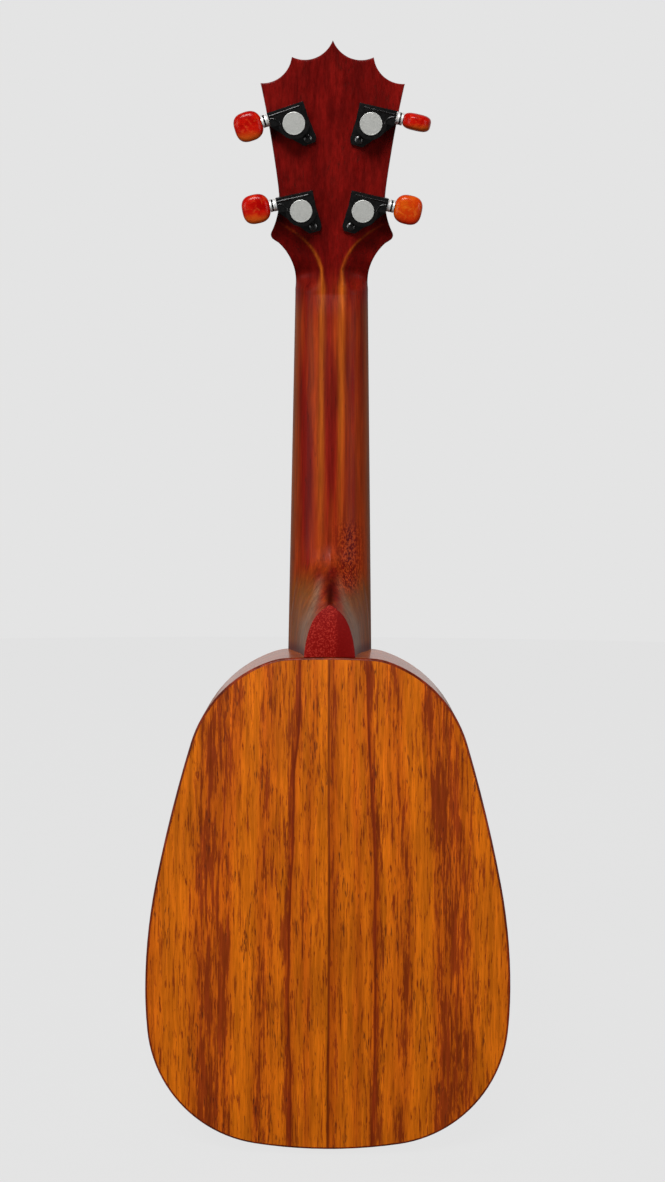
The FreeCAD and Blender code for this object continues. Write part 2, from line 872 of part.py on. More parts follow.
def make_bridge():
    body = doc.addObject("PartDesign::Body", "bridge_body")
    sketch = sketch_on(body, "bridge_profile", "YZ_Plane")
    front = SADDLE_Z + " + 5"
    rear = SADDLE_Z + " + 5 - sizes.bridge_width"
    draw_polygon(
        sketch,
        [
            (0, rear),
            (0, front),
            ("0.55 * sizes.bridge_height", front),
            ("sizes.bridge_height", SADDLE_Z + " + 2.5"),
            ("sizes.bridge_height", rear + " + 2"),
            ("0.7 * sizes.bridge_height", rear),
        ],
    )
    pad(body, sketch, "sizes.bridge_length", midplane=True)
    floor = "sizes.bridge_height - sizes.saddle_seat"
    seat = sketch_on(body, "saddle_seat", "YZ_Plane")
    half = "sizes.saddle_thickness / 2"
    top = "sizes.bridge_height + 5"
    draw_polygon(
        seat,
        [
            (floor, SADDLE_Z + " - " + half),
            (floor, SADDLE_Z + " + " + half),
            (top, SADDLE_Z + " + " + half),
            (top, SADDLE_Z + " - " + half),
        ],
    )
    pocket(body, seat, "sizes.saddle_length", midplane=True)
    for number, string in enumerate(STRINGS):
        # A narrow slot holds the string, and a wider cell behind it holds the knot.
        x = string_x(number, size("spread_at_bridge"))
        across = Placement(Vector(0, 0, x), Rotation())
        slot = sketch_on(body, "string_slot_" + string["name"], "YZ_Plane", across)
        end = rear + " - 1"
        front = SADDLE_Z + " - sizes.saddle_thickness"
        draw_polygon(slot, [(2.5, end), (2.5, front), (top, front), (top, end)])
        pocket(body, slot, "%g + 0.3" % string["gauge"], midplane=True)
        cell = sketch_on(body, "knot_cell_" + string["name"], "YZ_Plane", across)
        behind = SADDLE_Z + " - 8.5"
        draw_polygon(cell, [(2.5, rear + " - 1"), (2.5, behind), (top, behind), (top, rear + " - 1")])
        pocket(body, cell, "2 * sizes.knot_radius + 0.4", midplane=True)
    piece("bridge", body)
    blade = doc.addObject("PartDesign::Body", "saddle_body")
    profile = sketch_on(blade, "saddle_profile", "YZ_Plane")
    crest = "sizes.bridge_height + sizes.saddle_rise"
    draw_polygon(
        profile,
        [
            (floor, SADDLE_Z + " - " + half),
            (floor, SADDLE_Z + " + " + half),
            (crest + " - 0.5", SADDLE_Z + " + " + half),
            (crest, SADDLE_Z + " + 0.3"),
            (crest, SADDLE_Z + " - 0.2"),
            (crest + " - 0.7 * sizes.saddle_thickness / 2", SADDLE_Z + " - " + half),
        ],
    )
    pad(blade, profile, "sizes.saddle_length", midplane=True)
    piece("saddle", blade)


def tube(points, radius, bend):
    # Straight runs joined by arcs of one bend radius, each tangent to both its runs.
    edges = []
    start = points[0]
    for before, corner, after in zip(points, points[1:], points[2:]):
        entering = (corner - before).normalize()
        leaving = (after - corner).normalize()
        half_turn = entering.getAngle(leaving) / 2
        setback = bend * math.tan(half_turn)
        arc_start = corner - entering * setback
        arc_end = corner + leaving * setback
        inward = (leaving - entering).normalize()
        middle = corner + inward * (bend / math.cos(half_turn) - bend)
        edges.append(Part.makeLine(start, arc_start))
        edges.append(Part.Arc(arc_start, middle, arc_end).toShape())
        start = arc_end
    edges.append(Part.makeLine(start, points[-1]))
    path = Part.Wire(edges)
    ring = Part.makeCircle(radius, points[0], points[1] - points[0])
    solid = path.makePipeShell([Part.Wire([ring])], True, False)
    expected = math.pi * radius**2 * path.Length
    if abs(solid.Volume / expected - 1) > 0.01:
        raise RuntimeError("a string's volume is not its section times its length")
    return solid


def string_route(number, string):
    radius = string["gauge"] / 2
    gap = size("string_clearance")
    at_bridge = string_x(number, size("spread_at_bridge"))
    at_nut = string_x(number, size("spread_at_nut"))
    saddle_z = formula_value(SADDLE_Z)
    saddle_top = size("bridge_height") + size("saddle_rise")
    knot = Vector(at_bridge, 4.4, saddle_z - 10.6)
    over_saddle = Vector(at_bridge, saddle_top + radius + 3 * gap, saddle_z)
    over_nut = Vector(at_nut, size("nut_slot_height") + radius + gap, 0.3 * size("nut_length"))
    # The string leaves on the inner side of its post, short of the turns wound on it.
    across, up = tuner_spot(string)
    wound = size("post_radius") + radius
    height = size("veneer_thickness") + 0.55 * size("post_height")
    lean = Rotation(Vector(1, 0, 0), size("head_angle"))
    inner_side = Vector(across - string["side"] * wound, height, up)
    tangent = Vector(0, 0, size("nut_length")) + lean.multVec(inner_side)
    clear = math.sqrt((size("post_radius") + 2 * radius + 0.15) ** 2 - size("post_radius") ** 2)
    end = tangent - (tangent - over_nut).normalize() * (clear + 0.5)
    return [knot, over_saddle, over_nut, end]


def make_strings():
    for number, string in enumerate(STRINGS):
        points = string_route(number, string)
        radius = string["gauge"] / 2
        line = tube(points, radius, 2.5)
        knot = Part.makeSphere(size("knot_radius") - 0.1, points[0])
        made = doc.addObject("Part::Feature", "string_line_" + string["name"])
        made.Shape = line.fuse(knot)
        made.Placement = Placement()
        piece("string_" + string["name"], made)


# ---- tuners: each a worm on the knob's shaft and a wheel on the string's post ----

centre_distance = "(sizes.gear_module * sizes.wheel_teeth / 2 + sizes.worm_pitch_radius)"
wheel_outer = "(sizes.gear_module * (sizes.wheel_teeth / 2 + 1))"
worm_outer = "(sizes.worm_pitch_radius + sizes.gear_module)"
worm_half = "(2.3 * pi * sizes.gear_module)"
cavity_half = "(" + worm_half + " + 0.4)"


def make_housing(string):
    side = string["side"]
    body = doc.addObject("PartDesign::Body", "housing_" + string["name"])

    def sketch(name, role="XY_Plane", offset=Placement()):
        return sketch_on(body, "%s_%s" % (name, string["name"]), role, offset)

    def raised(alias):
        return Placement(Vector(0, 0, formula_value(alias)), Rotation())

    drum = sketch("drum")
    draw_circle(drum, 0, 0, "sizes.housing_radius")
    pad(body, drum, "sizes.housing_height")
    arm = sketch("arm")
    top = centre_distance + " + " + worm_outer + " + sizes.arm_wall"
    inner_end = "%d * sizes.housing_radius" % -side
    outer_end = "%d * sizes.arm_length" % side
    low = "sizes.arm_low"
    corners = [(inner_end, low), (outer_end, low), (outer_end, top), (inner_end, top)]
    draw_polygon(arm, corners if side > 0 else corners[::-1])
    pad(body, arm, "sizes.housing_height")
    shoulder = sketch("shoulder")
    radius = size("housing_radius")
    reach = side * size("arm_length")
    corners = [
        Vector(0, size("arm_low")),
        Vector(side * 0.61 * radius, -0.79 * radius),
        Vector(reach, size("arm_low")),
    ]
    draw_edges(shoulder, [Part.LineSegment(corners[n - 1], corners[n]) for n in range(3)])
    pad(body, shoulder, "sizes.shoulder_height")
    plate = sketch("screw_plate")
    corners = [plate_point(string, shares) for shares in PLATE_CORNERS]
    draw_edges(plate, [Part.LineSegment(a, b) for a, b in zip(corners, corners[1:] + corners[:1])])
    pad(body, plate, "sizes.flange_thickness")
    x, y = screw_spot(string)
    hole = sketch("flange_hole")
    draw_circle(hole, x, y, "sizes.screw_radius + sizes.running_clearance")
    pocket(body, hole, "sizes.flange_thickness", reverse=True)
    bore = sketch("post_bore")
    draw_circle(bore, 0, 0, "sizes.post_radius + sizes.running_clearance")
    pocket(body, bore, "sizes.housing_floor", reverse=True)
    well = sketch("wheel_well", offset=raised("sizes.housing_floor"))
    draw_circle(well, 0, 0, wheel_outer + " + 0.2")
    pocket(body, well, "sizes.housing_height - sizes.housing_floor", reverse=True)
    seat = sketch("cover_seat", offset=raised("sizes.cover_seat"))
    draw_circle(seat, 0, 0, "sizes.cover_radius")
    pocket(body, seat, "sizes.housing_height - sizes.cover_seat", reverse=True)
    tunnel = sketch("worm_tunnel", "YZ_Plane")
    draw_circle(tunnel, centre_distance, "sizes.worm_height", worm_outer + " + 0.2")
    pocket(body, tunnel, "2 * " + cavity_half, midplane=True)
    outward = sketch("shaft_bore", "YZ_Plane")
    journal_fit = "sizes.journal_radius + sizes.running_clearance"
    draw_circle(outward, centre_distance, "sizes.worm_height", journal_fit)
    pocket(body, outward, "sizes.arm_length", reverse=side > 0)
    inward = sketch("stub_bore", "YZ_Plane")
    stub_fit = "sizes.stub_radius + sizes.running_clearance"
    draw_circle(inward, centre_distance, "sizes.worm_height", stub_fit)
    pocket(body, inward, "sizes.housing_radius - 0.6", reverse=side < 0)
    body.Placement = tuner_placement(string)
    piece("tuner_housing_" + string["name"], body)


def shaft_placement(string, turn=0):
    shift = Vector(0, formula_value(centre_distance), size("worm_height"))
    rolled = Placement(Vector(), Rotation(Vector(1, 0, 0), turn))
    return tuner_placement(string, shift).multiply(rolled)


def collar_start():
    return "(sizes.arm_length + sizes.shaft_washer_thickness + 2 * sizes.running_clearance)"


def button_start():
    return "(" + collar_start() + " + sizes.collar_length)"


def groove_end(sign):
    # The groove round the collar lies midway along it.
    return "(%s + (sizes.collar_length %s sizes.collar_groove_length) / 2)" % (collar_start(), sign)


def make_worm_shaft(string):
    # The journal and stub run in the housing; the worm between them is a single-start thread.
    side = string["side"]
    body = doc.addObject("PartDesign::Body", "shaft_" + string["name"])
    profile = sketch_on(body, "shaft_profile_" + string["name"], "XY_Plane")
    root = "sizes.worm_pitch_radius - 1.2 * sizes.gear_module"
    stops = [
        ("-(sizes.housing_radius - 0.8)", 0),
        ("-(sizes.housing_radius - 0.8)", "sizes.stub_radius"),
        ("-" + worm_half, "sizes.stub_radius"),
        ("-" + worm_half, root),
        (worm_half, root),
        (worm_half, "sizes.journal_radius"),
        (collar_start(), "sizes.journal_radius"),
        (collar_start(), "sizes.collar_radius"),
        (groove_end("-"), "sizes.collar_radius"),
        (groove_end("-"), "sizes.collar_groove_radius"),
        (groove_end("+"), "sizes.collar_groove_radius"),
        (groove_end("+"), "sizes.collar_radius"),
        (button_start(), "sizes.collar_radius"),
        (button_start(), "sizes.button_stem_radius"),
        (button_start() + " + 0.75 * sizes.button_length", "sizes.button_stem_radius"),
        (button_start() + " + 0.75 * sizes.button_length", 0),
    ]
    if side < 0:
        stops = [("-(%s)" % x, y) for x, y in stops][::-1]
    merged = [
        stop
        for n, stop in enumerate(stops)
        if math.dist(
            (formula_value(stop[0]), formula_value(stop[1])),
            (formula_value(stops[n - 1][0]), formula_value(stops[n - 1][1])),
        )
        > 1e-6
    ]
    draw_polygon(profile, merged)
    revolve(body, profile, "H_Axis")
    pitch = math.pi * size("gear_module")
    thread = sketch_on(body, "thread_" + string["name"], "XY_Plane")
    module = size("gear_module")
    pitch_radius = size("worm_pitch_radius")
    start = -2 * pitch
    tip = pitch_radius + module
    foot = pitch_radius - 1.4 * module
    corners = [
        Vector(start - 0.85 * module, foot),
        Vector(start - 0.3 * module, tip),
        Vector(start + 0.3 * module, tip),
        Vector(start + 0.85 * module, foot),
    ]
    draw_edges(thread, [Part.LineSegment(corners[n - 1], corners[n]) for n in range(4)])
    helix = body.newObject("PartDesign::AdditiveHelix", "worm_thread_" + string["name"])
    helix.Profile = thread
    helix.ReferenceAxis = (thread, ["H_Axis"])
    helix.Mode = "pitch-height-angle"
    helix.Pitch = pitch
    helix.Height = 4 * pitch
    helix.LeftHanded = side < 0
    doc.recompute()
    body.Placement = shaft_placement(string)
    piece("worm_shaft_" + string["name"], body)


# The button's outline as shares of its length and of its half width.
BUTTON_SHARES = [
    (0, 0.62),
    (0.225, 1),
    (0.62, 1),
    (1, 0.66),
    (1, -0.66),
    (0.62, -1),
    (0.225, -1),
    (0, -0.62),
]


def make_button(string):
    side = string["side"]
    body = doc.addObject("PartDesign::Body", "button_body_" + string["name"])
    outline = sketch_on(body, "button_outline_" + string["name"], "XY_Plane")
    start = button_start()
    half = "sizes.button_width / 2"
    points = []
    for x, y in BUTTON_SHARES:
        along = "%d * (%s + %.4f * sizes.button_length)" % (side, start, x)
        points.append((along, "%.2f * %s" % (y, half)))
    draw_polygon(outline, points)
    slab = pad(body, outline, "sizes.button_thickness", midplane=True)
    rim = [
        "Edge%d" % n
        for n, found in enumerate(slab.Shape.Edges, start=1)
        if abs(abs(found.CenterOfMass.z) - size("button_thickness") / 2) < 1e-3
    ]
    rounded = body.newObject("PartDesign::Chamfer", "button_edge_" + string["name"])
    rounded.Base = (slab, rim)
    bind(rounded, {"Size": "0.25 * sizes.button_thickness"})
    doc.recompute()
    socket = sketch_on(body, "button_socket_" + string["name"], "YZ_Plane")
    draw_circle(socket, 0, 0, "sizes.button_stem_radius")
    pocket(body, socket, start + " + 0.75 * sizes.button_length", reverse=side > 0)
    body.Placement = shaft_placement(string, string["button_turn"])
    piece("button_" + string["name"], body)


def make_post(string):
    # The post turns in the bushing and the housing floor, and its end is riveted over the wheel.
    body = doc.addObject("PartDesign::Body", "post_" + string["name"])
    profile = sketch_on(body, "post_profile_" + string["name"], "XZ_Plane")
    low = FRONT + " - sizes.post_height"
    wheel_low = "sizes.worm_height - sizes.wheel_thickness / 2"
    wheel_top = "sizes.worm_height + sizes.wheel_thickness / 2"
    draw_polygon(
        profile,
        [
            (0, low),
            ("sizes.post_radius - 0.6", low),
            ("sizes.post_radius", low + " + 0.8"),
            ("sizes.post_radius", "sizes.housing_floor"),
            ("sizes.post_radius - 0.5", "sizes.housing_floor"),
            ("sizes.post_radius - 0.5", wheel_low),
            ("sizes.post_radius - 1.2", wheel_low),
            ("sizes.post_radius - 1.2", wheel_top),
            ("sizes.post_radius - 0.8", wheel_top),
            ("sizes.post_radius - 0.8", wheel_top + " + 0.7"),
            (0, wheel_top + " + 0.7"),
        ],
    )
    revolve(body, profile, "V_Axis")
    hole = sketch_on(body, "string_hole_" + string["name"], "YZ_Plane")
    draw_circle(hole, 0, FRONT + " - 0.75 * sizes.post_height", 0.6)
    pocket(body, hole, 20, midplane=True)
    body.Placement = tuner_placement(string)
    piece("string_post_" + string["name"], body)


def make_wheel(string):
    body = doc.addObject("PartDesign::Body", "wheel_" + string["name"])
    underside = formula_value("sizes.worm_height - sizes.wheel_thickness / 2")
    low = Placement(Vector(0, 0, underside), Rotation())
    disc = sketch_on(body, "wheel_disc_" + string["name"], "XY_Plane", low)
    draw_circle(disc, 0, 0, "sizes.gear_module * (sizes.wheel_teeth / 2 - 1.2)")
    pad(body, disc, "sizes.wheel_thickness")
    module = size("gear_module")
    pitch_radius = module * size("wheel_teeth") / 2
    tooth = sketch_on(body, "wheel_tooth_" + string["name"], "XY_Plane", low)
    corners = [
        Vector(-0.85 * module, pitch_radius - 1.5 * module),
        Vector(-0.3 * module, pitch_radius + module),
        Vector(0.3 * module, pitch_radius + module),
        Vector(0.85 * module, pitch_radius - 1.5 * module),
    ]
    draw_edges(tooth, [Part.LineSegment(corners[n - 1], corners[n]) for n in range(4)])
    first = pad(body, tooth, "sizes.wheel_thickness")
    ring = body.newObject("PartDesign::PolarPattern", "wheel_teeth_" + string["name"])
    ring.Originals = [first]
    ring.Axis = (tooth, ["N_Axis"])
    ring.Angle = 360
    bind(ring, {"Occurrences": "sizes.wheel_teeth"})
    body.Tip = ring
    doc.recompute()
    bore = sketch_on(body, "wheel_bore_" + string["name"], "XY_Plane", low)
    draw_circle(bore, 0, 0, "sizes.post_radius - 1.2")
    pocket(body, bore, "sizes.wheel_thickness", reverse=True)
    body.Placement = tuner_placement(string)
    piece("worm_wheel_" + string["name"], body)


def make_winding(string):
    # Three turns of string round the post, as the closed shape they fill.
    body = doc.addObject("PartDesign::Body", "winding_" + string["name"])
    profile = sketch_on(body, "winding_profile_" + string["name"], "XZ_Plane")
    low = FRONT + " - 0.55 * sizes.post_height - %g" % (1.5 * string["gauge"])
    high = low + " + %g" % (3 * string["gauge"])
    outer = "sizes.post_radius + %g" % string["gauge"]
    inner = "sizes.post_radius"
    draw_polygon(profile, [(inner, low), (outer, low), (outer, high), (inner, high)])
    revolve(body, profile, "V_Axis")
    body.Placement = tuner_placement(string)
    piece("string_winding_" + string["name"], body)


def make_small_tuner_parts():
    covers = []
    bushings = []
    washers = []
    screws = []
    spacers = []
    for string in STRINGS:
        name = string["name"]
        x, y = screw_spot(string)
        bore = "sizes.post_radius + sizes.running_clearance"
        thickness = "sizes.cover_thickness"
        covers.append(
            tuner_cylinder("cover", string, "sizes.cover_radius", "sizes.cover_seat", thickness)
        )
        sleeve_radius = "sizes.post_radius + sizes.bushing_wall"
        sleeve = tuner_cylinder("sleeve", string, sleeve_radius, FRONT, "sizes.bushing_length")
        bore_start = FRONT + " - sizes.overshoot"
        bore_length = "sizes.bushing_length + 2 * sizes.overshoot"
        sleeve_bore = tuner_cylinder("sleeve_bore", string, bore, bore_start, bore_length)
        bushings.append(cut("bushing_" + name, sleeve, sleeve_bore))
        ring = tuner_cylinder(
            "ferrule",
            string,
            "sizes.post_radius + sizes.washer_rim",
            FRONT + " - sizes.washer_thickness",
            "sizes.washer_thickness",
        )
        washers.append(cut("front_washer_" + name, ring, sleeve_bore))
        shank = tuner_cylinder(
            "screw_shank",
            string,
            "sizes.screw_radius",
            "-sizes.screw_length",
            "sizes.screw_length + sizes.flange_thickness",
            x,
            y,
        )
        head = tuner_cylinder(
            "screw_head",
            string,
            "sizes.screw_head_radius",
            "sizes.flange_thickness",
            "sizes.screw_head_height",
            x,
            y,
        )
        screws.append(joined("screw_" + name, [shank, head]))
        spacer = doc.addObject("Part::Cylinder", "spacer_disc_" + name)
        bind(spacer, {"Radius": "sizes.collar_radius", "Height": "sizes.shaft_washer_thickness"})
        hole = doc.addObject("Part::Cylinder", "spacer_hole_" + name)
        bind(
            hole,
            {
                "Radius": "sizes.journal_radius + sizes.running_clearance",
                "Height": "sizes.shaft_washer_thickness + 2 * sizes.overshoot",
            },
        )
        starts = (size("arm_length"), size("arm_length") - size("overshoot"))
        across = Rotation(Vector(0, 1, 0), string["side"] * 90)
        for made, start in zip((spacer, hole), starts):
            outward = Placement(Vector(string["side"] * start, 0, 0), across)
            made.Placement = shaft_placement(string).multiply(outward)
        spacers.append(cut("spacer_" + name, spacer, hole))
    piece("tuner_covers", group("cover_set", covers))
    piece("tuner_bushings", group("bushing_set", bushings))
    piece("tuner_washers", group("washer_set", washers))
    piece("tuner_screws", group("screw_set", screws))
    piece("shaft_washers", group("spacer_set", spacers))


def make_tuners():
    for string in STRINGS:
        make_housing(string)
        make_worm_shaft(string)
        make_button(string)
        make_post(string)
        make_wheel(string)
        make_winding(string)
    make_small_tuner_parts()


def make_body():
    rosette = make_rosette()
    make_soundboard(rosette)
    make_back()
    make_sides()
    zones = make_blocks()
    make_linings(zones)
    make_top_bracing()
    make_back_bracing()


def check_and_write():
    doc.recompute()
    for thing in doc.Objects:
        if "Invalid" in thing.State or "Error" in thing.State:
            raise RuntimeError("%s failed: %s" % (thing.Name, thing.State))
    os.makedirs("parts", exist_ok=True)
    for thing in pieces:
        if thing.Shape.isNull() or not thing.Shape.isValid():
            raise RuntimeError("%s is not a valid shape" % thing.Label)
    for thing in pieces:
        thing.Shape.exportStep("parts/%s.step" % thing.Label)


make_body()
make_neck()
make_heel_cap()
piece("neck_dowel", dowel_solid("dowel_stick"))
make_veneer()
make_fingerboard()
make_nut()
make_bridge()
make_strings()
make_tuners()
check_and_write()
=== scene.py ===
import json
import math

import bmesh
import bpy
import numpy as np
from mathutils import Matrix, Vector, geometry


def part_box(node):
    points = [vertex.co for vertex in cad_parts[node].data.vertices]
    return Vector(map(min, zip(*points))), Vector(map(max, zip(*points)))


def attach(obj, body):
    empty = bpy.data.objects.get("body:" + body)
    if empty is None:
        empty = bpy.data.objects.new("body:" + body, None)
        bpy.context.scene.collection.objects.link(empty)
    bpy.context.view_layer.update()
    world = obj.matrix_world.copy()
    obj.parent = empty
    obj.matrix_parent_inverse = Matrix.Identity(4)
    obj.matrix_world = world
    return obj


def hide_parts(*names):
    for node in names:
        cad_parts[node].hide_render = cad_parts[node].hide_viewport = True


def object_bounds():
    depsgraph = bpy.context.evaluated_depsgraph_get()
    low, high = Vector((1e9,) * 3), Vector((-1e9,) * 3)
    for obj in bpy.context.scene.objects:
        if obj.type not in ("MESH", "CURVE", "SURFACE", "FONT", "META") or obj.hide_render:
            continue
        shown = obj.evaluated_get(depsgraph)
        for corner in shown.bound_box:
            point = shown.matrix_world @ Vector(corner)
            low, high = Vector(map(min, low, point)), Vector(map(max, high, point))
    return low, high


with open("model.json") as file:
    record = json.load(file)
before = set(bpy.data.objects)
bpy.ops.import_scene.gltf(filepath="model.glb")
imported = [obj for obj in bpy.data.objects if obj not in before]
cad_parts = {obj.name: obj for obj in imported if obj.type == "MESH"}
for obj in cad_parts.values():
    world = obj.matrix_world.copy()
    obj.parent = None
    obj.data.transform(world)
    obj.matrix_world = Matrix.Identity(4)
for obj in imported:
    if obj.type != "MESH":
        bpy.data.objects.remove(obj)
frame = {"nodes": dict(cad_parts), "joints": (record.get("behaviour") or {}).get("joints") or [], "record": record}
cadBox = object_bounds()
mm = 0.001
record = frame["record"]
joints = {joint["name"]: joint for joint in frame["joints"]}
slots = {entry["node"]: entry["material_slot"] for entry in record["subparts"]}
strings = ("g", "c", "e", "a")


# small helpers for shader trees

def newMaterial(name):
    material = bpy.data.materials.new(name)
    material.use_nodes = True
    tree = material.node_tree
    return material, tree, tree.nodes["Principled BSDF"]


def addNode(tree, kind, inputs=None, **options):
    node = tree.nodes.new(kind)
    for name, value in options.items():
        setattr(node, name, value)
    for name, value in (inputs or {}).items():
        if isinstance(value, bpy.types.NodeSocket):
            tree.links.new(value, node.inputs[name])
        else:
            node.inputs[name].default_value = value
    return node


def calc(tree, operation, first, second=0.5, clamp=False):
    return addNode(tree, "ShaderNodeMath", {0: first, 1: second}, operation=operation, use_clamp=clamp).outputs[0]


def smoothRange(tree, value, low, high, toLow=0.0, toHigh=1.0):
    inputs = {"Value": value, "From Min": low, "From Max": high, "To Min": toLow, "To Max": toHigh}
    return addNode(tree, "ShaderNodeMapRange", inputs, interpolation_type="SMOOTHSTEP").outputs[0]


def mixColor(tree, factor, first, second, blend="MIX"):
    node = addNode(tree, "ShaderNodeMix", data_type="RGBA", blend_type=blend)
    for index, value in ((0, factor), (6, first), (7, second)):
        if isinstance(value, bpy.types.NodeSocket):
            tree.links.new(value, node.inputs[index])
        elif index == 0:
            node.inputs[index].default_value = value
        else:
            node.inputs[index].default_value = (*value, 1)
    return node.outputs[2]


def rampColor(tree, factor, stops):
    node = addNode(tree, "ShaderNodeValToRGB", {"Fac": factor})
    elements = node.color_ramp.elements
    while len(elements) < len(stops):
        elements.new(0.5)
    for element, (place, color) in zip(elements, stops):
        element.position = place
        element.color = (*color, 1)
    return node.outputs["Color"]


def stretched(tree, source, scale):
    return addNode(tree, "ShaderNodeVectorMath", {0: source, 1: scale}, operation="MULTIPLY").outputs[0]


def noiseField(tree, source, scale, detail=3.0, roughness=0.55, distortion=0.0):
    inputs = {"Vector": stretched(tree, source, scale), "Scale": 1.0, "Detail": detail}
    inputs.update({"Roughness": roughness, "Distortion": distortion})
    return addNode(tree, "ShaderNodeTexNoise", inputs).outputs["Fac"]


def objectPlace(tree):
    return addNode(tree, "ShaderNodeTexCoord").outputs["Object"]


def paintedShare(tree, label):
    # a share stored on the mesh's points
    return addNode(tree, "ShaderNodeAttribute", attribute_name=label).outputs["Fac"]


def bumpFrom(tree, shader, height, strength, distance):
    node = addNode(tree, "ShaderNodeBump", {"Height": height, "Strength": strength, "Distance": distance})
    tree.links.new(node.outputs["Normal"], shader.inputs["Normal"])


def setShader(shader, roughness, coat=0.0, coatRoughness=0.1, metallic=0.0, specular=0.5):
    shader.inputs["Roughness"].default_value = roughness
    shader.inputs["Coat Weight"].default_value = coat
    shader.inputs["Coat Roughness"].default_value = coatRoughness
    shader.inputs["Metallic"].default_value = metallic
    shader.inputs["Specular IOR Level"].default_value = specular


# wood: a base colour, long streaks, fine fibres, dark pores and slow mottling

def grainPlace(tree, grain):
    # a place whose third axis runs along the grain, in metres
    if grain == "path":
        return addNode(tree, "ShaderNodeAttribute", attribute_name="grainPath").outputs["Vector"]
    place = objectPlace(tree)
    if grain == "z":
        return place
    parts = addNode(tree, "ShaderNodeSeparateXYZ", {0: place}).outputs
    order = {"x": (1, 2, 0), "y": (0, 2, 1)}[grain]
    return addNode(tree, "ShaderNodeCombineXYZ", {n: parts[part] for n, part in enumerate(order)}).outputs[0]


def finishWood(tree, shader, place, base, look):
    # streaks, fibres and mottling scale the colour, pores darken it, and both shape the bump
    streak = noiseField(tree, place, (look["streakWide"], look["streakWide"], look["streakLong"]), 4)
    streakDepth = smoothRange(tree, streak, 0.3, 0.7, 1 - look["streakDepth"], 1 + look["streakDepth"])
    fibre = noiseField(tree, place, (look["fibreWide"], look["fibreWide"], look["fibreLong"]), 3, 0.6)
    fibreDepth = smoothRange(tree, fibre, 0.3, 0.7, 1 - look["fibreDepth"], 1 + look["fibreDepth"])
    mottle = noiseField(tree, place, (look["mottleScale"], look["mottleScale"], look["mottleScale"] * 0.5), 2)
    mottleDepth = smoothRange(tree, mottle, 0.3, 0.7, 1 - look["mottleDepth"], 1 + look["mottleDepth"])
    tone = calc(tree, "MULTIPLY", calc(tree, "MULTIPLY", streakDepth, fibreDepth), mottleDepth)
    toned = addNode(tree, "ShaderNodeVectorMath", {0: base, "Scale": tone}, operation="SCALE").outputs[0]
    pore = noiseField(tree, place, (look["poreWide"], look["poreWide"], look["poreLong"]), 2, 0.5, 0.4)
    cluster = noiseField(tree, place, (look["clusterWide"], look["clusterWide"], look["clusterLong"]), 2)
    spread = smoothRange(tree, cluster, 0.35, 0.65, look["poreFewer"], look["poreMore"])
    poreMask = smoothRange(tree, calc(tree, "ADD", pore, spread), 0.62, 0.72)
    color = mixColor(tree, calc(tree, "MULTIPLY", poreMask, look["poreDepth"]), toned, look["poreColor"])
    tree.links.new(color, shader.inputs["Base Color"])
    rough = smoothRange(tree, fibre, 0.3, 0.7, look["roughness"] - 0.05, look["roughness"] + 0.07)
    tree.links.new(rough, shader.inputs["Roughness"])
    height = calc(tree, "SUBTRACT", calc(tree, "MULTIPLY", fibre, 0.4), poreMask)
    bumpFrom(tree, shader, height, look["bump"], 0.0002)
    shader.inputs["Coat Weight"].default_value = look["coat"]
    shader.inputs["Coat Roughness"].default_value = look["coatRoughness"]
    shader.inputs["Specular IOR Level"].default_value = look["specular"]


woodLook = {
    "streakWide": 420, "streakLong": 14, "streakDepth": 0.2,
    "fibreWide": 1500, "fibreLong": 70, "fibreDepth": 0.16,
    "mottleScale": 45, "mottleDepth": 0.08,
    "poreWide": 1150, "poreLong": 130, "poreDepth": 0.75, "poreColor": (0.07, 0.012, 0.004),
    "clusterWide": 90, "clusterLong": 25, "poreFewer": -0.12, "poreMore": 0.05,
    "roughness": 0.36, "coat": 0.04, "coatRoughness": 0.12, "specular": 0.1, "bump": 0.25,
}

koaColors = {
    "gold": (0.49, 0.110, 0.003),
    "amber": (0.42, 0.080, 0.003),
    "brown": (0.30, 0.046, 0.002),
    "dark": (0.15, 0.018, 0.002),
    "seam": (0.085, 0.009, 0.002),
}
koaReach = 0.09
# places across one half of the back, from the seam (0) out to koaReach (1)
koaBands = [
    (0.0, "gold"), (0.085, "gold"), (0.125, "amber"), (0.17, "gold"),
    (0.207, "amber"), (0.212, "dark"), (0.219, "dark"), (0.225, "brown"), (0.255, "gold"),
    (0.4, "amber"), (0.44, "gold"),
    (0.52, "gold"), (0.56, "amber"), (0.72, "amber"), (0.8, "gold"), (0.9, "gold"), (1.0, "amber"),
]
koaCrowds = [
    (0.0, 0.35), (0.03, 0.3), (0.07, 0.15), (0.19, 0.4), (0.235, 0.8), (0.29, 0.25), (0.36, 0.5), (0.385, 0.85),
    (0.41, 0.45), (0.45, 0.15), (0.52, 0.3), (0.58, 0.9), (0.71, 0.9), (0.78, 0.3), (0.9, 0.2), (1.0, 0.5),
]
fibreLook = {
    "wide": 700, "long": 34, "shortWide": 1050, "shortLong": 120, "color": (0.155, 0.017, 0.003), "depth": 0.85,
}


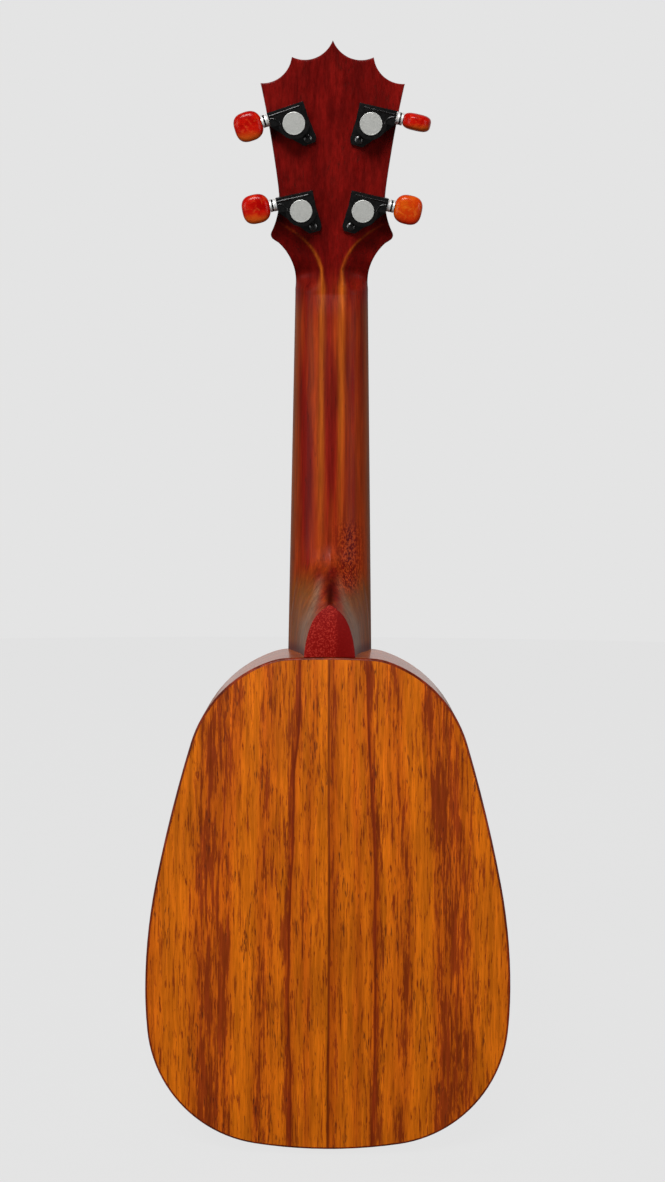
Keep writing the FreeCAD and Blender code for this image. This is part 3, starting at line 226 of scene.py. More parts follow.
def darkFibres(tree, place, base, crowd):
    # dark strands and short pores, crowded together in some bands and sparse in others
    strand = noiseField(tree, place, (fibreLook["wide"], fibreLook["wide"], fibreLook["long"]), 5, 0.72)
    short = noiseField(tree, place, (fibreLook["shortWide"], fibreLook["shortWide"], fibreLook["shortLong"]), 3, 0.6)
    patch = noiseField(tree, place, (150, 150, 28), 3)
    patched = calc(tree, "MULTIPLY", crowd, smoothRange(tree, patch, 0.3, 0.7, 0.6, 1.4))
    lift = calc(tree, "MULTIPLY", patched, 0.17)
    strandMask = smoothRange(tree, calc(tree, "ADD", strand, lift), 0.57, 0.7)
    shortMask = smoothRange(tree, calc(tree, "ADD", short, calc(tree, "MULTIPLY", lift, 0.8)), 0.62, 0.72)
    mask = calc(tree, "MULTIPLY", calc(tree, "MAXIMUM", strandMask, shortMask), fibreLook["depth"])
    return mixColor(tree, mask, base, fibreLook["color"])


def koaMaterial(name, grain, banded, roughness=0.36, coat=0.04):
    # book-matched koa: both halves carry the same bands, mirrored across the seam
    material, tree, shader = newMaterial(name)
    place = grainPlace(tree, grain)
    look = dict(woodLook, roughness=roughness, coat=coat)
    if banded:
        parts = addNode(tree, "ShaderNodeSeparateXYZ", {0: place}).outputs
        drift = noiseField(tree, place, (26, 26, 7), 3)
        wander = smoothRange(tree, drift, 0.3, 0.7, -0.0016, 0.0016)
        off = calc(tree, "SUBTRACT", parts[0], 0.0018)
        fan = smoothRange(tree, parts[2], -0.29, -0.17, 1.0, 1.16)
        across = calc(tree, "ADD", calc(tree, "MULTIPLY", calc(tree, "ABSOLUTE", off), fan), wander)
        share = calc(tree, "DIVIDE", across, koaReach)
        base = rampColor(tree, share, [(stop, koaColors[key]) for stop, key in koaBands])
        crowd = rampColor(tree, share, [(stop, (value,) * 3) for stop, value in koaCrowds])
        nearSeam = calc(tree, "ABSOLUTE", calc(tree, "ADD", parts[0], calc(tree, "MULTIPLY", wander, 0.25)))
        seam = smoothRange(tree, nearSeam, 0.0009, 0.0002)
        nearSide, farSide = smoothRange(tree, parts[0], 0.0, 0.0006), smoothRange(tree, parts[0], 0.0085, 0.001)
        beside = calc(tree, "MULTIPLY", nearSide, farSide)
        base = mixColor(tree, calc(tree, "MULTIPLY", beside, 0.75), base, koaColors["brown"])
        base = mixColor(tree, calc(tree, "MULTIPLY", seam, 0.8), base, koaColors["seam"])
        base = darkFibres(tree, place, base, crowd)
    else:
        slow = noiseField(tree, place, (60, 60, 5), 3)
        stops = ((0.3, "brown"), (0.45, "amber"), (0.6, "gold"))
        base = rampColor(tree, slow, [(stop, koaColors[key]) for stop, key in stops])
        base = darkFibres(tree, place, base, 0.45)
    finishWood(tree, shader, place, base, look)
    return material


def neckMaterial(name):
    # dark cherry stain; along the two ridges and down both edges of the shaft it is lighter, partly thinner stain
    # and partly a painted highlight; near the heel it carries a painted rim light, a painted sheen and a painted
    # shadow
    material, tree, shader = newMaterial(name)
    place = objectPlace(tree)
    parts = addNode(tree, "ShaderNodeSeparateXYZ", {0: place}).outputs
    slow = noiseField(tree, place, (140, 140, 9), 3)
    head = mixColor(tree, smoothRange(tree, slow, 0.35, 0.65), (0.105, 0.0018, 0.0012), (0.15, 0.0035, 0.0022))
    shaft = mixColor(tree, smoothRange(tree, slow, 0.35, 0.65), (0.15, 0.005, 0.002), (0.27, 0.03, 0.003))
    down = smoothRange(tree, parts[2], 0.02, -0.02)
    base = mixColor(tree, down, head, shaft)
    ragged = noiseField(tree, place, (500, 500, 12), 3)
    broken = smoothRange(tree, ragged, 0.3, 0.6, 0.45, 1.0)
    # lighter along the ridges and edges: partly thinner stain, partly a painted highlight
    wearAndHighlightShare = calc(tree, "MULTIPLY", paintedShare(tree, "ridgeWearAndHighlight"), broken, True)
    base = mixColor(tree, wearAndHighlightShare, base, (0.42, 0.085, 0.006))
    # painted rim light and painted sheen on the heel's flanks
    for label, color, depth in (("flankPaintedLight", (0.17, 0.05, 0.004), 0.9), ("flankPaintedSheen", (0.22, 0.12, 0.07), 0.75)):
        share = smoothRange(tree, ragged, 0.25, 0.65, depth * 0.7, depth)
        base = mixColor(tree, calc(tree, "MULTIPLY", paintedShare(tree, label), share, True), base, color)
    stipple = noiseField(tree, place, (1100, 1100, 650), 2, 0.6)
    speckled = mixColor(tree, smoothRange(tree, stipple, 0.42, 0.6), (0.10, 0.0025, 0.0015), (0.34, 0.04, 0.006))
    base = mixColor(tree, paintedShare(tree, "stipple"), base, speckled)
    # painted shadow above the heel's tip and where the neck meets the body
    base = mixColor(tree, paintedShare(tree, "recessShadow"), base, (0.022, 0.0006, 0.0005))
    finishWood(tree, shader, place, base, dict(
        woodLook, streakDepth=0.22, poreDepth=0.5, poreColor=(0.05, 0.004, 0.002),
        roughness=0.42, coat=0.02, specular=0.07,
    ))
    return material


def plainWood(name, light, dark, grain, **changes):
    material, tree, shader = newMaterial(name)
    place = grainPlace(tree, grain)
    slow = noiseField(tree, place, (170, 170, 10), 3)
    base = mixColor(tree, smoothRange(tree, slow, 0.35, 0.65), dark, light)
    finishWood(tree, shader, place, base, dict(woodLook, **changes))
    return material


def stippledWood(name):
    # the heel cap: end grain, speckled, darker to one side
    material, tree, shader = newMaterial(name)
    place = objectPlace(tree)
    parts = addNode(tree, "ShaderNodeSeparateXYZ", {0: place}).outputs
    speck = noiseField(tree, place, (1300, 1300, 1300), 2, 0.6)
    light = mixColor(tree, smoothRange(tree, speck, 0.48, 0.62), (0.19, 0.003, 0.002), (0.34, 0.022, 0.014))
    quiet = mixColor(tree, smoothRange(tree, speck, 0.5, 0.75), (0.155, 0.0025, 0.002), (0.2, 0.005, 0.004))
    side = smoothRange(tree, parts[0], 0.002, 0.0045)
    tree.links.new(mixColor(tree, side, light, quiet), shader.inputs["Base Color"])
    setShader(shader, 0.45, 0.02, 0.25, 0.0, 0.08)
    bumpFrom(tree, shader, speck, 0.2, 0.0002)
    return material


def metalMaterial(name, color, roughness, brushed=(900, 900, 900), depth=0.08, metallic=1.0):
    material, tree, shader = newMaterial(name)
    place = objectPlace(tree)
    speck = noiseField(tree, place, brushed, 3, 0.6)
    tone = smoothRange(tree, speck, 0.3, 0.7, 1 - depth, 1 + depth)
    toned = addNode(tree, "ShaderNodeVectorMath", {0: color, "Scale": tone}, operation="SCALE").outputs[0]
    tree.links.new(toned, shader.inputs["Base Color"])
    setShader(shader, roughness, 0.0, 0.1, metallic)
    rough = smoothRange(tree, speck, 0.3, 0.7, roughness - 0.04, roughness + 0.06)
    tree.links.new(rough, shader.inputs["Roughness"])
    bumpFrom(tree, shader, speck, 0.08, 0.0001)
    return material


def blackMetal(name):
    # die-cast, black and glossy, with a faint orange-peel
    material, tree, shader = newMaterial(name)
    place = objectPlace(tree)
    peel = noiseField(tree, place, (700, 700, 700), 2)
    tone = mixColor(tree, smoothRange(tree, peel, 0.35, 0.65), (0.0025, 0.0025, 0.0025), (0.006, 0.006, 0.006))
    tree.links.new(tone, shader.inputs["Base Color"])
    setShader(shader, 0.26, 0.3, 0.1, 0.0, 0.4)
    bumpFrom(tree, shader, peel, 0.06, 0.0002)
    return material


def pearlMaterial(name, deep, bright, pale, veins, lowColor):
    # swirled pearl plastic
    material, tree, shader = newMaterial(name)
    place = objectPlace(tree)
    warp = addNode(tree, "ShaderNodeTexNoise", {"Vector": place, "Scale": 110.0, "Detail": 2.0}).outputs["Color"]
    pushed = addNode(tree, "ShaderNodeVectorMath", {0: warp, 1: (0.012, 0.012, 0.012)}, operation="MULTIPLY")
    moved = addNode(tree, "ShaderNodeVectorMath", {0: place, 1: pushed.outputs[0]}, operation="ADD").outputs[0]
    cloud = noiseField(tree, moved, (120, 120, 120), 3, 0.6)
    vein = noiseField(tree, moved, (330, 330, 330), 3, 0.6)
    base = mixColor(tree, smoothRange(tree, cloud, 0.4, 0.62), deep, bright)
    paleShare = calc(tree, "MULTIPLY", smoothRange(tree, vein, 0.52, 0.72), veins)
    color = mixColor(tree, paleShare, base, pale)
    waver = calc(tree, "MULTIPLY", calc(tree, "SUBTRACT", cloud, 0.5), 0.5)
    wavy = calc(tree, "ADD", paintedShare(tree, "lowShare"), waver)
    color = mixColor(tree, smoothRange(tree, wavy, 0.68, 0.98, 0.0, 0.8), color, lowColor)
    tree.links.new(color, shader.inputs["Base Color"])
    setShader(shader, 0.25, 0.1, 0.05, 0.0, 0.08)
    shader.inputs["Subsurface Weight"].default_value = 0.08
    shader.inputs["Subsurface Radius"].default_value = (0.004, 0.0015, 0.0008)
    shader.inputs["Subsurface Scale"].default_value = 1.0
    return material


def boneMaterial(name, color, roughness=0.35, glassy=0.0):
    material, tree, shader = newMaterial(name)
    place = objectPlace(tree)
    cloud = noiseField(tree, place, (300, 300, 300), 4)
    shade = tuple(0.8 * part for part in color)
    tree.links.new(mixColor(tree, smoothRange(tree, cloud, 0.35, 0.65), shade, color), shader.inputs["Base Color"])
    setShader(shader, roughness, 0.3, 0.15)
    shader.inputs["Subsurface Weight"].default_value = 0.15
    shader.inputs["Subsurface Radius"].default_value = (0.002, 0.0015, 0.001)
    shader.inputs["Transmission Weight"].default_value = glassy
    bumpFrom(tree, shader, cloud, 0.05, 0.0002)
    return material


def mosaicMaterial(name):
    # inlay tiles that turn from pale to dark round the ring
    material, tree, shader = newMaterial(name)
    place = objectPlace(tree)
    cell = addNode(tree, "ShaderNodeTexVoronoi", {"Vector": place, "Scale": 900.0}).outputs["Color"]
    tone = addNode(tree, "ShaderNodeSeparateColor", {0: cell}).outputs[0]
    stops = [(0.0, (0.05, 0.012, 0.006)), (0.35, (0.30, 0.12, 0.04))]
    stops += [(0.7, (0.62, 0.5, 0.32)), (1.0, (0.8, 0.75, 0.62))]
    tree.links.new(rampColor(tree, tone, stops), shader.inputs["Base Color"])
    setShader(shader, 0.35, 0.4, 0.15)
    return material


print("materials")
koaBack = koaMaterial("koaBack", "z", True)
koaTop = koaMaterial("koaTop", "z", True)
# koaEdge: darker wood for the rounded rims, partly a darker finish and partly a painted reflection of dark
# surroundings
koaEdge = plainWood("koaEdge", (0.20, 0.022, 0.003), (0.09, 0.010, 0.002), "z")
koaSide = koaMaterial("koaSide", "path", False, 0.3, 0.5)
neckWood = neckMaterial("neckCherry")
capWood = stippledWood("heelCapWood")
veneerWood = plainWood("veneerWood", (0.30, 0.05, 0.006), (0.16, 0.02, 0.004), "z")
bare = {"coat": 0.0, "roughness": 0.7}
oiled = {"coat": 0.1, "roughness": 0.5, "poreColor": (0.008, 0.004, 0.003)}
spruce = plainWood("innerSpruce", (0.66, 0.44, 0.22), (0.5, 0.3, 0.13), "x", poreDepth=0.15, **bare)
blockWood = plainWood("blockWood", (0.5, 0.26, 0.12), (0.36, 0.16, 0.07), "z", poreDepth=0.3, **bare)
rosewood = plainWood("rosewood", (0.075, 0.022, 0.012), (0.028, 0.009, 0.006), "z", **oiled)
bridgeWood = plainWood("bridgeRosewood", (0.075, 0.022, 0.012), (0.03, 0.01, 0.006), "x", **oiled)
fretMetal = metalMaterial("fretMetal", (0.72, 0.71, 0.68), 0.22)
blackHousing = blackMetal("blackHousing")
capMetal = metalMaterial("satinCap", (0.47, 0.475, 0.45), 0.5, (1800, 1800, 1800), 0.1, 0.35)
rimMetal = metalMaterial("brightRim", (0.62, 0.63, 0.6), 0.4, (900, 900, 900), 0.05, 0.6)
plating = metalMaterial("brightPlating", (0.75, 0.75, 0.73), 0.15)
shaftSteel = metalMaterial("shaftSteel", (0.82, 0.82, 0.8), 0.42, (900, 900, 900), 0.05, 0.45)
collarBlack = blackMetal("collarBlack")
wheelBrass = metalMaterial("wheelBrass", (0.7, 0.45, 0.16), 0.3)
screwMetal = metalMaterial("screwMetal", (0.12, 0.12, 0.12), 0.3)
washerWhite = boneMaterial("washerNylon", (0.8, 0.8, 0.78), 0.4)
bone = boneMaterial("bone", (0.78, 0.72, 0.58))
nylon = boneMaterial("stringNylon", (0.75, 0.73, 0.66), 0.2, 0.35)
# each pearl: its deep, bright and pale colours, how much of it is veined, and the colour of its low edge
pearlLook = {
    "markerPearl": ((0.5, 0.52, 0.5), (0.75, 0.78, 0.74), (0.9, 0.88, 0.8), 0.6, (0.8, 0.8, 0.75)),
    "redPearl": ((0.33, 0.0012, 0.0006), (0.46, 0.006, 0.002), (0.72, 0.13, 0.03), 0.3, (0.60, 0.10, 0.008)),
    "orangePearl": ((0.50, 0.035, 0.002), (0.58, 0.088, 0.003), (0.68, 0.19, 0.02), 0.4, (0.55, 0.012, 0.003)),
}
markerPearl, redPearl, orangePearl = (pearlMaterial(name, *look) for name, look in pearlLook.items())
mosaic = mosaicMaterial("mosaic")


# helpers for meshes

def meshObject(name, verts, faces, materials, smooth=True, faceMaterials=None):
    mesh = bpy.data.meshes.new(name)
    mesh.from_pydata([tuple(v) for v in verts], [], faces)
    for material in materials:
        mesh.materials.append(material)
    if faceMaterials is not None:
        mesh.polygons.foreach_set("material_index", faceMaterials)
    mesh.polygons.foreach_set("use_smooth", [smooth] * len(mesh.polygons))
    mesh.update()
    made = bpy.data.objects.new(name, mesh)
    bpy.context.scene.collection.objects.link(made)
    return made


def cleaned(piece, merge=0.0):
    # close points made one, faces turned outwards
    bm = bmesh.new()
    bm.from_mesh(piece.data)
    if merge:
        bmesh.ops.remove_doubles(bm, verts=bm.verts, dist=merge)
    bmesh.ops.recalc_face_normals(bm, faces=bm.faces)
    bm.to_mesh(piece.data)
    bm.free()


def addAttribute(piece, label, values):
    attribute = piece.data.attributes.new(label, "FLOAT", "POINT")
    attribute.data.foreach_set("value", [float(value) for value in values])


def circle(count, radius, height=0.0):
    turns = [2 * math.pi * n / count for n in range(count)]
    return [(radius * math.cos(turn), radius * math.sin(turn), height) for turn in turns]


def rowFaces(rows, count):
    # quads between closed rows of this many points
    faces = []
    for low in range(0, rows * count, count):
        for n in range(count):
            after = (n + 1) % count
            faces.append((low + n, low + after, low + count + after, low + count + n))
    return faces


def sharpen(piece, degrees=35):
    # smooth shading, with the edges sharper than this left crisp
    bm = bmesh.new()
    bm.from_mesh(piece.data)
    for edge in bm.edges:
        edge.smooth = not (edge.is_manifold and edge.calc_face_angle(0) > math.radians(degrees))
    for face in bm.faces:
        face.smooth = True
    bm.to_mesh(piece.data)
    bm.free()


def applied(piece):
    # the evaluated mesh takes the place of the modifiers
    depsgraph = bpy.context.evaluated_depsgraph_get()
    mesh = bpy.data.meshes.new_from_object(piece.evaluated_get(depsgraph), depsgraph=depsgraph)
    piece.modifiers.clear()
    piece.data = mesh
    return piece


def easedCopy(name, node, material, width, segments=2, pick=None, edgeMaterial=None, limit=40):
    # a copy of a CAD piece with its sharp edges rounded over
    source = frame["nodes"][node]
    bm = bmesh.new()
    bm.from_mesh(source.data)
    bmesh.ops.remove_doubles(bm, verts=bm.verts, dist=0.00001)
    bmesh.ops.dissolve_limit(bm, angle_limit=math.radians(0.6), verts=bm.verts, edges=bm.edges)
    for face in bm.faces:
        face.material_index = 0
    sharp = []
    for edge in bm.edges:
        if edge.is_manifold and edge.calc_face_angle(0) > math.radians(limit) and (pick is None or pick(edge)):
            sharp.append(edge)
    if sharp:
        bmesh.ops.bevel(
            bm, geom=sharp, offset=width, segments=segments, profile=0.5, affect="EDGES",
            clamp_overlap=True, material=1 if edgeMaterial else -1,
        )
    bmesh.ops.triangulate(bm, faces=[f for f in bm.faces if len(f.verts) > 4])
    mesh = bpy.data.meshes.new(name)
    bm.to_mesh(mesh)
    bm.free()
    mesh.materials.append(material)
    if edgeMaterial:
        mesh.materials.append(edgeMaterial)
    piece = bpy.data.objects.new(name, mesh)
    bpy.context.scene.collection.objects.link(piece)
    sharpen(piece)
    return piece


def hand(piece, body, slot, *nodes):
    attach(piece, body)
    if nodes:
        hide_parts(*nodes)
    return piece


def lathePiece(name, profile, materials, steps=48, matrix=Matrix()):
    # turns a list of (radius, height, material) round the third axis
    verts = [point for radius, height, _ in profile for point in circle(steps, radius, height)]
    mats = [mat for _, _, mat in profile[:-1] for _ in range(steps)]
    piece = meshObject(name, verts, rowFaces(len(profile) - 1, steps), materials, True, mats)
    cleaned(piece, 0.000002)
    piece.data.transform(matrix)
    sharpen(piece)
    return piece


def tunerMatrix(name):
    # the machine's own axes, from its two hinges: X out along the knob, Z out of the headstock's back
    post, knob = joints["post_%s_spin" % name], joints["knob_%s_spin" % name]
    along, up = Vector(knob["axis"]).normalized(), Vector(post["axis"]).normalized()
    across = up.cross(along)
    turn = Matrix((along, across, up)).transposed().to_4x4()
    return Matrix.Translation(Vector(post["pos_m"])) @ turn


def tunerSide(name):
    return 1 if joints["post_%s_spin" % name]["pos_m"][0] > 0 else -1


def shaftMatrix(name):
    # Z outward along the knob's shaft
    knob = joints["knob_%s_spin" % name]
    out = Vector(knob["axis"]).normalized() * tunerSide(name)
    back = Vector(joints["post_%s_spin" % name]["axis"]).normalized()
    across = out.cross(back)
    turn = Matrix((back, across * -1, out)).transposed().to_4x4()
    return Matrix.Translation(Vector(knob["pos_m"])) @ turn


# Geometry Nodes: one tree sets copies of a unit piece on points, one sweeps a round section along a curve

def newTree(name, inputs):
    tree = bpy.data.node_groups.new(name, "GeometryNodeTree")
    tree.interface.new_socket("Geometry", in_out="OUTPUT", socket_type="NodeSocketGeometry")
    tree.interface.new_socket("Geometry", in_out="INPUT", socket_type="NodeSocketGeometry")
    for label, kind, default in inputs:
        socket = tree.interface.new_socket(label, in_out="INPUT", socket_type=kind)
        if default is not None:
            socket.default_value = default
    return tree, tree.nodes.new("NodeGroupInput"), tree.nodes.new("NodeGroupOutput")


def sweepCurve(tree, given, curve, resolution, radius):
    # a round section along the curve, with closed ends
    inputs = {"Resolution": resolution, "Radius": given.outputs[radius]}
    ring = addNode(tree, "GeometryNodeCurvePrimitiveCircle", inputs)
    inputs = {"Curve": curve, "Profile Curve": ring.outputs[0], "Fill Caps": True}
    return addNode(tree, "GeometryNodeCurveToMesh", inputs).outputs[0]


def endTree(tree, given, result, made):
    real = addNode(tree, "GeometryNodeRealizeInstances", {0: made})
    inputs = {"Geometry": real.outputs[0], "Material": given.outputs["Finish"]}
    tree.links.new(addNode(tree, "GeometryNodeSetMaterial", inputs).outputs[0], result.inputs[0])
    return tree


def runTree(name, tree, values, base=None):
    # sets the named inputs by their identifiers, evaluates, and keeps a plain mesh
    piece = bpy.data.objects.new(name, base or bpy.data.meshes.new(name))
    bpy.context.scene.collection.objects.link(piece)
    modifier = piece.modifiers.new(name, "NODES")
    modifier.node_group = tree
    for item in tree.interface.items_tree:
        if item.in_out == "INPUT" and item.name in values:
            modifier[item.identifier] = values[item.name]
    bpy.context.view_layer.update()
    return applied(piece)


def copiesTree():
    tree, given, result = newTree("setCopies", [
        ("Unit", "NodeSocketObject", None), ("Size", "NodeSocketFloat", 1.0),
        ("Finish", "NodeSocketMaterial", None),
    ])
    info = addNode(tree, "GeometryNodeObjectInfo", {"Object": given.outputs["Unit"]})
    turn = addNode(tree, "GeometryNodeInputNamedAttribute", {"Name": "turn"}, data_type="FLOAT_VECTOR")
    stretch = addNode(tree, "GeometryNodeInputNamedAttribute", {"Name": "stretch"}, data_type="FLOAT_VECTOR")
    sized = addNode(tree, "ShaderNodeVectorMath", {0: stretch.outputs[0]}, operation="SCALE")
    tree.links.new(given.outputs["Size"], sized.inputs["Scale"])
    points = addNode(tree, "GeometryNodeMeshToPoints", {"Mesh": given.outputs["Geometry"]})
    rotation = addNode(tree, "FunctionNodeEulerToRotation", {0: turn.outputs[0]})
    copies = addNode(tree, "GeometryNodeInstanceOnPoints", {
        "Points": points.outputs[0], "Instance": info.outputs["Geometry"],
        "Rotation": rotation.outputs[0], "Scale": sized.outputs[0],
    })
    return endTree(tree, given, result, copies.outputs[0])


setCopies = copiesTree()


def placeCopies(name, unit, matrices, material, size=1.0):
    base = bpy.data.meshes.new(name)
    base.from_pydata([m.translation[:] for m in matrices], [], [])
    turns = base.attributes.new("turn", "FLOAT_VECTOR", "POINT")
    scales = base.attributes.new("stretch", "FLOAT_VECTOR", "POINT")
    for n, matrix in enumerate(matrices):
        turns.data[n].vector = matrix.to_euler()
        scales.data[n].vector = matrix.to_scale()
    piece = runTree(name, setCopies, {"Unit": unit, "Size": size, "Finish": material}, base)
    bpy.data.objects.remove(unit)
    for extra in ("turn", "stretch"):
        if extra in piece.data.attributes:
            piece.data.attributes.remove(piece.data.attributes[extra])
    sharpen(piece)
    return piece


def coilTree():
    tree, given, result = newTree("windCoil", [
        ("Turns", "NodeSocketFloat", 4.0), ("Radius", "NodeSocketFloat", 0.003),
        ("Height", "NodeSocketFloat", 0.003), ("Gauge", "NodeSocketFloat", 0.0004),
        ("Finish", "NodeSocketMaterial", None),
    ])
    spiral = addNode(tree, "GeometryNodeCurveSpiral", {
        "Resolution": 40, "Rotations": given.outputs["Turns"], "Start Radius": given.outputs["Radius"],
        "End Radius": given.outputs["Radius"], "Height": given.outputs["Height"],
    })
    return endTree(tree, given, result, sweepCurve(tree, given, spiral.outputs[0], 12, "Gauge"))


windCoil = coilTree()


# the body's outline, read from the back halves

def bodyOutline():
    points = []
    for node in ("back_left", "back_right"):
        points += [Vector((v.co.x, v.co.z)) for v in frame["nodes"][node].data.vertices]
    hull = geometry.convex_hull_2d(points)
    loop = [points[n] for n in hull]
    center = Vector((0, sum(p.y for p in loop) / len(loop)))
    return sorted(loop, key=lambda p: math.atan2(p.x - center.x, p.y - center.y)), center


outline, bodyCenter = bodyOutline()
outlineTurns = np.array([math.atan2(p.x - bodyCenter.x, p.y - bodyCenter.y) for p in outline])
outlineSteps = [0.0]
for here, there in zip(outline, outline[1:]):
    outlineSteps.append(outlineSteps[-1] + (there - here).length)
outlineSteps = np.array(outlineSteps)
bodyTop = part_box("back_left")[1].z


def alongOutline(x, z):
    return float(np.interp(math.atan2(x - bodyCenter.x, z - bodyCenter.y), outlineTurns, outlineSteps))


def outlineTop(x):
    # height of the body's top edge at this distance from the middle
    upper = sorted((p.x, p.y) for p in outline if p.y > bodyCenter.y + 0.05)
    return float(np.interp(x, [p[0] for p in upper], [p[1] for p in upper]))


# neck

neckLook = {
    "columns": 121,
    "ridgeStart": 5.0, "ridgeLow": 12.7, "ridgeHigh": 36.5, "ridgeSpread": 27.0,
    "earThickness": 7.5, "easedEdge": 0.6, "heelFillet": 5.0,
}
# sizes in mm: half widths across the headstock, and heights from the nut's end of the fingerboard
head = {
    "angle": 12, "thickness": 12, "length": 121.8, "start": 5,
    "crown": 34.7, "waist": 26.1, "ear": 30.25, "nut": 18.25,
    "outerDrop": 19.9, "innerDrop": 7.7, "innerShare": 0.565, "waistDrop": 50.5, "earDrop": 71.4,
}
shaft = {"end": -173, "joint": 21.0, "nutDepth": 14.0, "heelDepth": 17.0}
heel = {"foot": -178, "capHalf": 12.25, "capLength": 25, "length": 62, "floor": 52, "start": 7.65, "levels": 46}


def step(value, low, high):
    t = min(1.0, max(0.0, (value - low) / (high - low)))
    return t * t * (3 - 2 * t)


def bump(value, middle, wide):
    return math.exp(-((value - middle) / wide) ** 2)


def arcPoints(a, b, c, count=24):
    # points on the circle through a, b and c, from a to c
    (ax, ay), (bx, by), (cx, cy) = a, b, c
    d = 2 * (ax * (by - cy) + bx * (cy - ay) + cx * (ay - by))
    aa, bb, cc = ax * ax + ay * ay, bx * bx + by * by, cx * cx + cy * cy
    ux = (aa * (by - cy) + bb * (cy - ay) + cc * (ay - by)) / d
    uy = (aa * (cx - bx) + bb * (ax - cx) + cc * (bx - ax)) / d
    radius = math.hypot(ax - ux, ay - uy)
    first, middle, last = (math.atan2(y - uy, x - ux) for x, y in (a, b, c))
    sweep = (last - first) % (2 * math.pi)
    if not (middle - first) % (2 * math.pi) < sweep:
        sweep -= 2 * math.pi
    turns = [first + sweep * n / (count - 1) for n in range(count)]
    return [(ux + radius * math.cos(t), uy + radius * math.sin(t)) for t in turns]


def headCurves():
    top, crown, waist, ear, nut = head["length"], head["crown"], head["waist"], head["ear"], head["nut"]
    outer = (crown, top - head["outerDrop"])
    inner = (head["innerShare"] * crown, top - head["innerDrop"])
    waistUp, earUp = outer[1] - head["waistDrop"], outer[1] - head["earDrop"]
    crownLine = arcPoints((0, top), (0.243 * crown, top - 8.1), inner)
    crownLine += arcPoints(inner, (0.757 * crown, top - 17.8), outer)[1:]
    sideLine = [(nut, 0)]
    sideLine += arcPoints((nut, 3), (nut + 2.4, earUp - 12), (ear - 2.9, earUp - 3.7))
    sideLine += arcPoints((ear - 2.9, earUp - 3.7), (ear - 0.6, earUp - 2.3), (ear, earUp), 10)[1:]
    sideLine += arcPoints((ear, earUp), (waist + 1.1, earUp + 7.7), (waist, waistUp))[1:]
    sideLine += arcPoints((waist, waistUp), ((crown + waist) / 2 - 0.6, (outer[1] + waistUp) / 2), outer)[1:]
    return crownLine, sideLine, inner, outer


crownLine, sideLine, crownInner, crownOuter = headCurves()
sideUp = np.array([p[1] for p in sideLine])
sideOut = np.array([p[0] for p in sideLine])
crownAcross = np.array([p[0] for p in crownLine])
crownUp = np.array([p[1] for p in crownLine])


def neckHalf(s):
    if s > head["start"]:
        return float(np.interp(s - head["start"], sideUp, sideOut))
    return head["nut"] + (shaft["joint"] - head["nut"]) * (head["start"] - s) / -shaft["end"]


def ridgeAt(s):
    up = s - head["start"]
    t = (up - neckLook["ridgeLow"]) / (neckLook["ridgeHigh"] - neckLook["ridgeLow"])
    if t <= 0:
        return neckLook["ridgeStart"]
    spread = neckLook["ridgeSpread"] - neckLook["ridgeStart"]
    return neckLook["ridgeStart"] + spread * (0.27 * t + 0.73 * t ** 2.6)


def archHalf(half, tip, foot, s):
    # half width, at height s, of a pointed arch through its foot, shoulder and tip
    if s >= tip:
        return -1.0
    rise = max(0.0, (s - foot) / (tip - foot))
    return half * (1 - rise ** 2.6) ** 0.68


def heelTable(s):
    # the heel's half width at height s on each of its levels, from the cap up to the shaft
    widths, levels = [], []
    for n in range(heel["levels"] - 1, -1, -1):
        share = n / (heel["levels"] - 1)
        half = heel["capHalf"] + (shaft["joint"] - 0.9 - heel["capHalf"]) * (1 - share) ** 1.7
        tip = shaft["end"] + heel["capLength"] + (heel["length"] - heel["capLength"]) * (1 - share) ** 2.3
        widths.append(archHalf(half, tip, heel["foot"], s))
        levels.append(heel["start"] + (heel["floor"] - heel["start"]) * share)
    return np.array(widths), np.array(levels)


def neckDepth(x, s, table):
    # how deep the back of the neck lies below the gluing plane
    half = neckHalf(s)
    across = min(1.0, abs(x) / half)
    back = shaft["nutDepth"] + (shaft["heelDepth"] - shaft["nutDepth"]) * (head["start"] - s) / -shaft["end"]
    oval = back * math.sqrt(max(0.0, 1 - across * across))
    up = s - head["start"]
    if up > -40:
        ridge = min(ridgeAt(s), half)
        level = shaft["nutDepth"] + (head["thickness"] - shaft["nutDepth"]) * step(up, -14, 14)
        t = 0.0 if abs(x) <= ridge or half - ridge < 0.01 else (abs(x) - ridge) / (half - ridge)
        t = min(1.0, t)
        ear = neckLook["earThickness"] * step(up, 0, 20)
        ear += (head["thickness"] - neckLook["earThickness"]) * step(up, 29, 38)
        curved = level * math.sqrt(max(0.0, 1 - t * t))
        scooped = level - (level - ear) * (1 - (1 - t) ** 1.9)
        carved = max(curved + (scooped - curved) * step(up, 1, 13), ear if t >= 1 else 0)
        oval += (carved - oval) * step(up, -40, -4)
        edge = half - abs(x)
        eased = neckLook["easedEdge"] * step(up, 4, 16)
        if edge < eased:
            oval -= eased * (1 - math.sqrt(max(0.0, 1 - (1 - edge / eased) ** 2)))
    if table is not None:
        widths, levels = table
        if widths[-1] > 0 and abs(x) < widths[-1]:
            tongue = float(np.interp(abs(x), widths, levels)) if abs(x) > widths[0] else float(levels[0])
            soft = neckLook["heelFillet"] * min(1.0, oval / 8.0) + 0.001
            h = min(1.0, max(0.0, 0.5 + 0.5 * (tongue - oval) / soft))
            oval = oval + (tongue - oval) * h + soft * h * (1 - h)
    return max(0.0, oval)


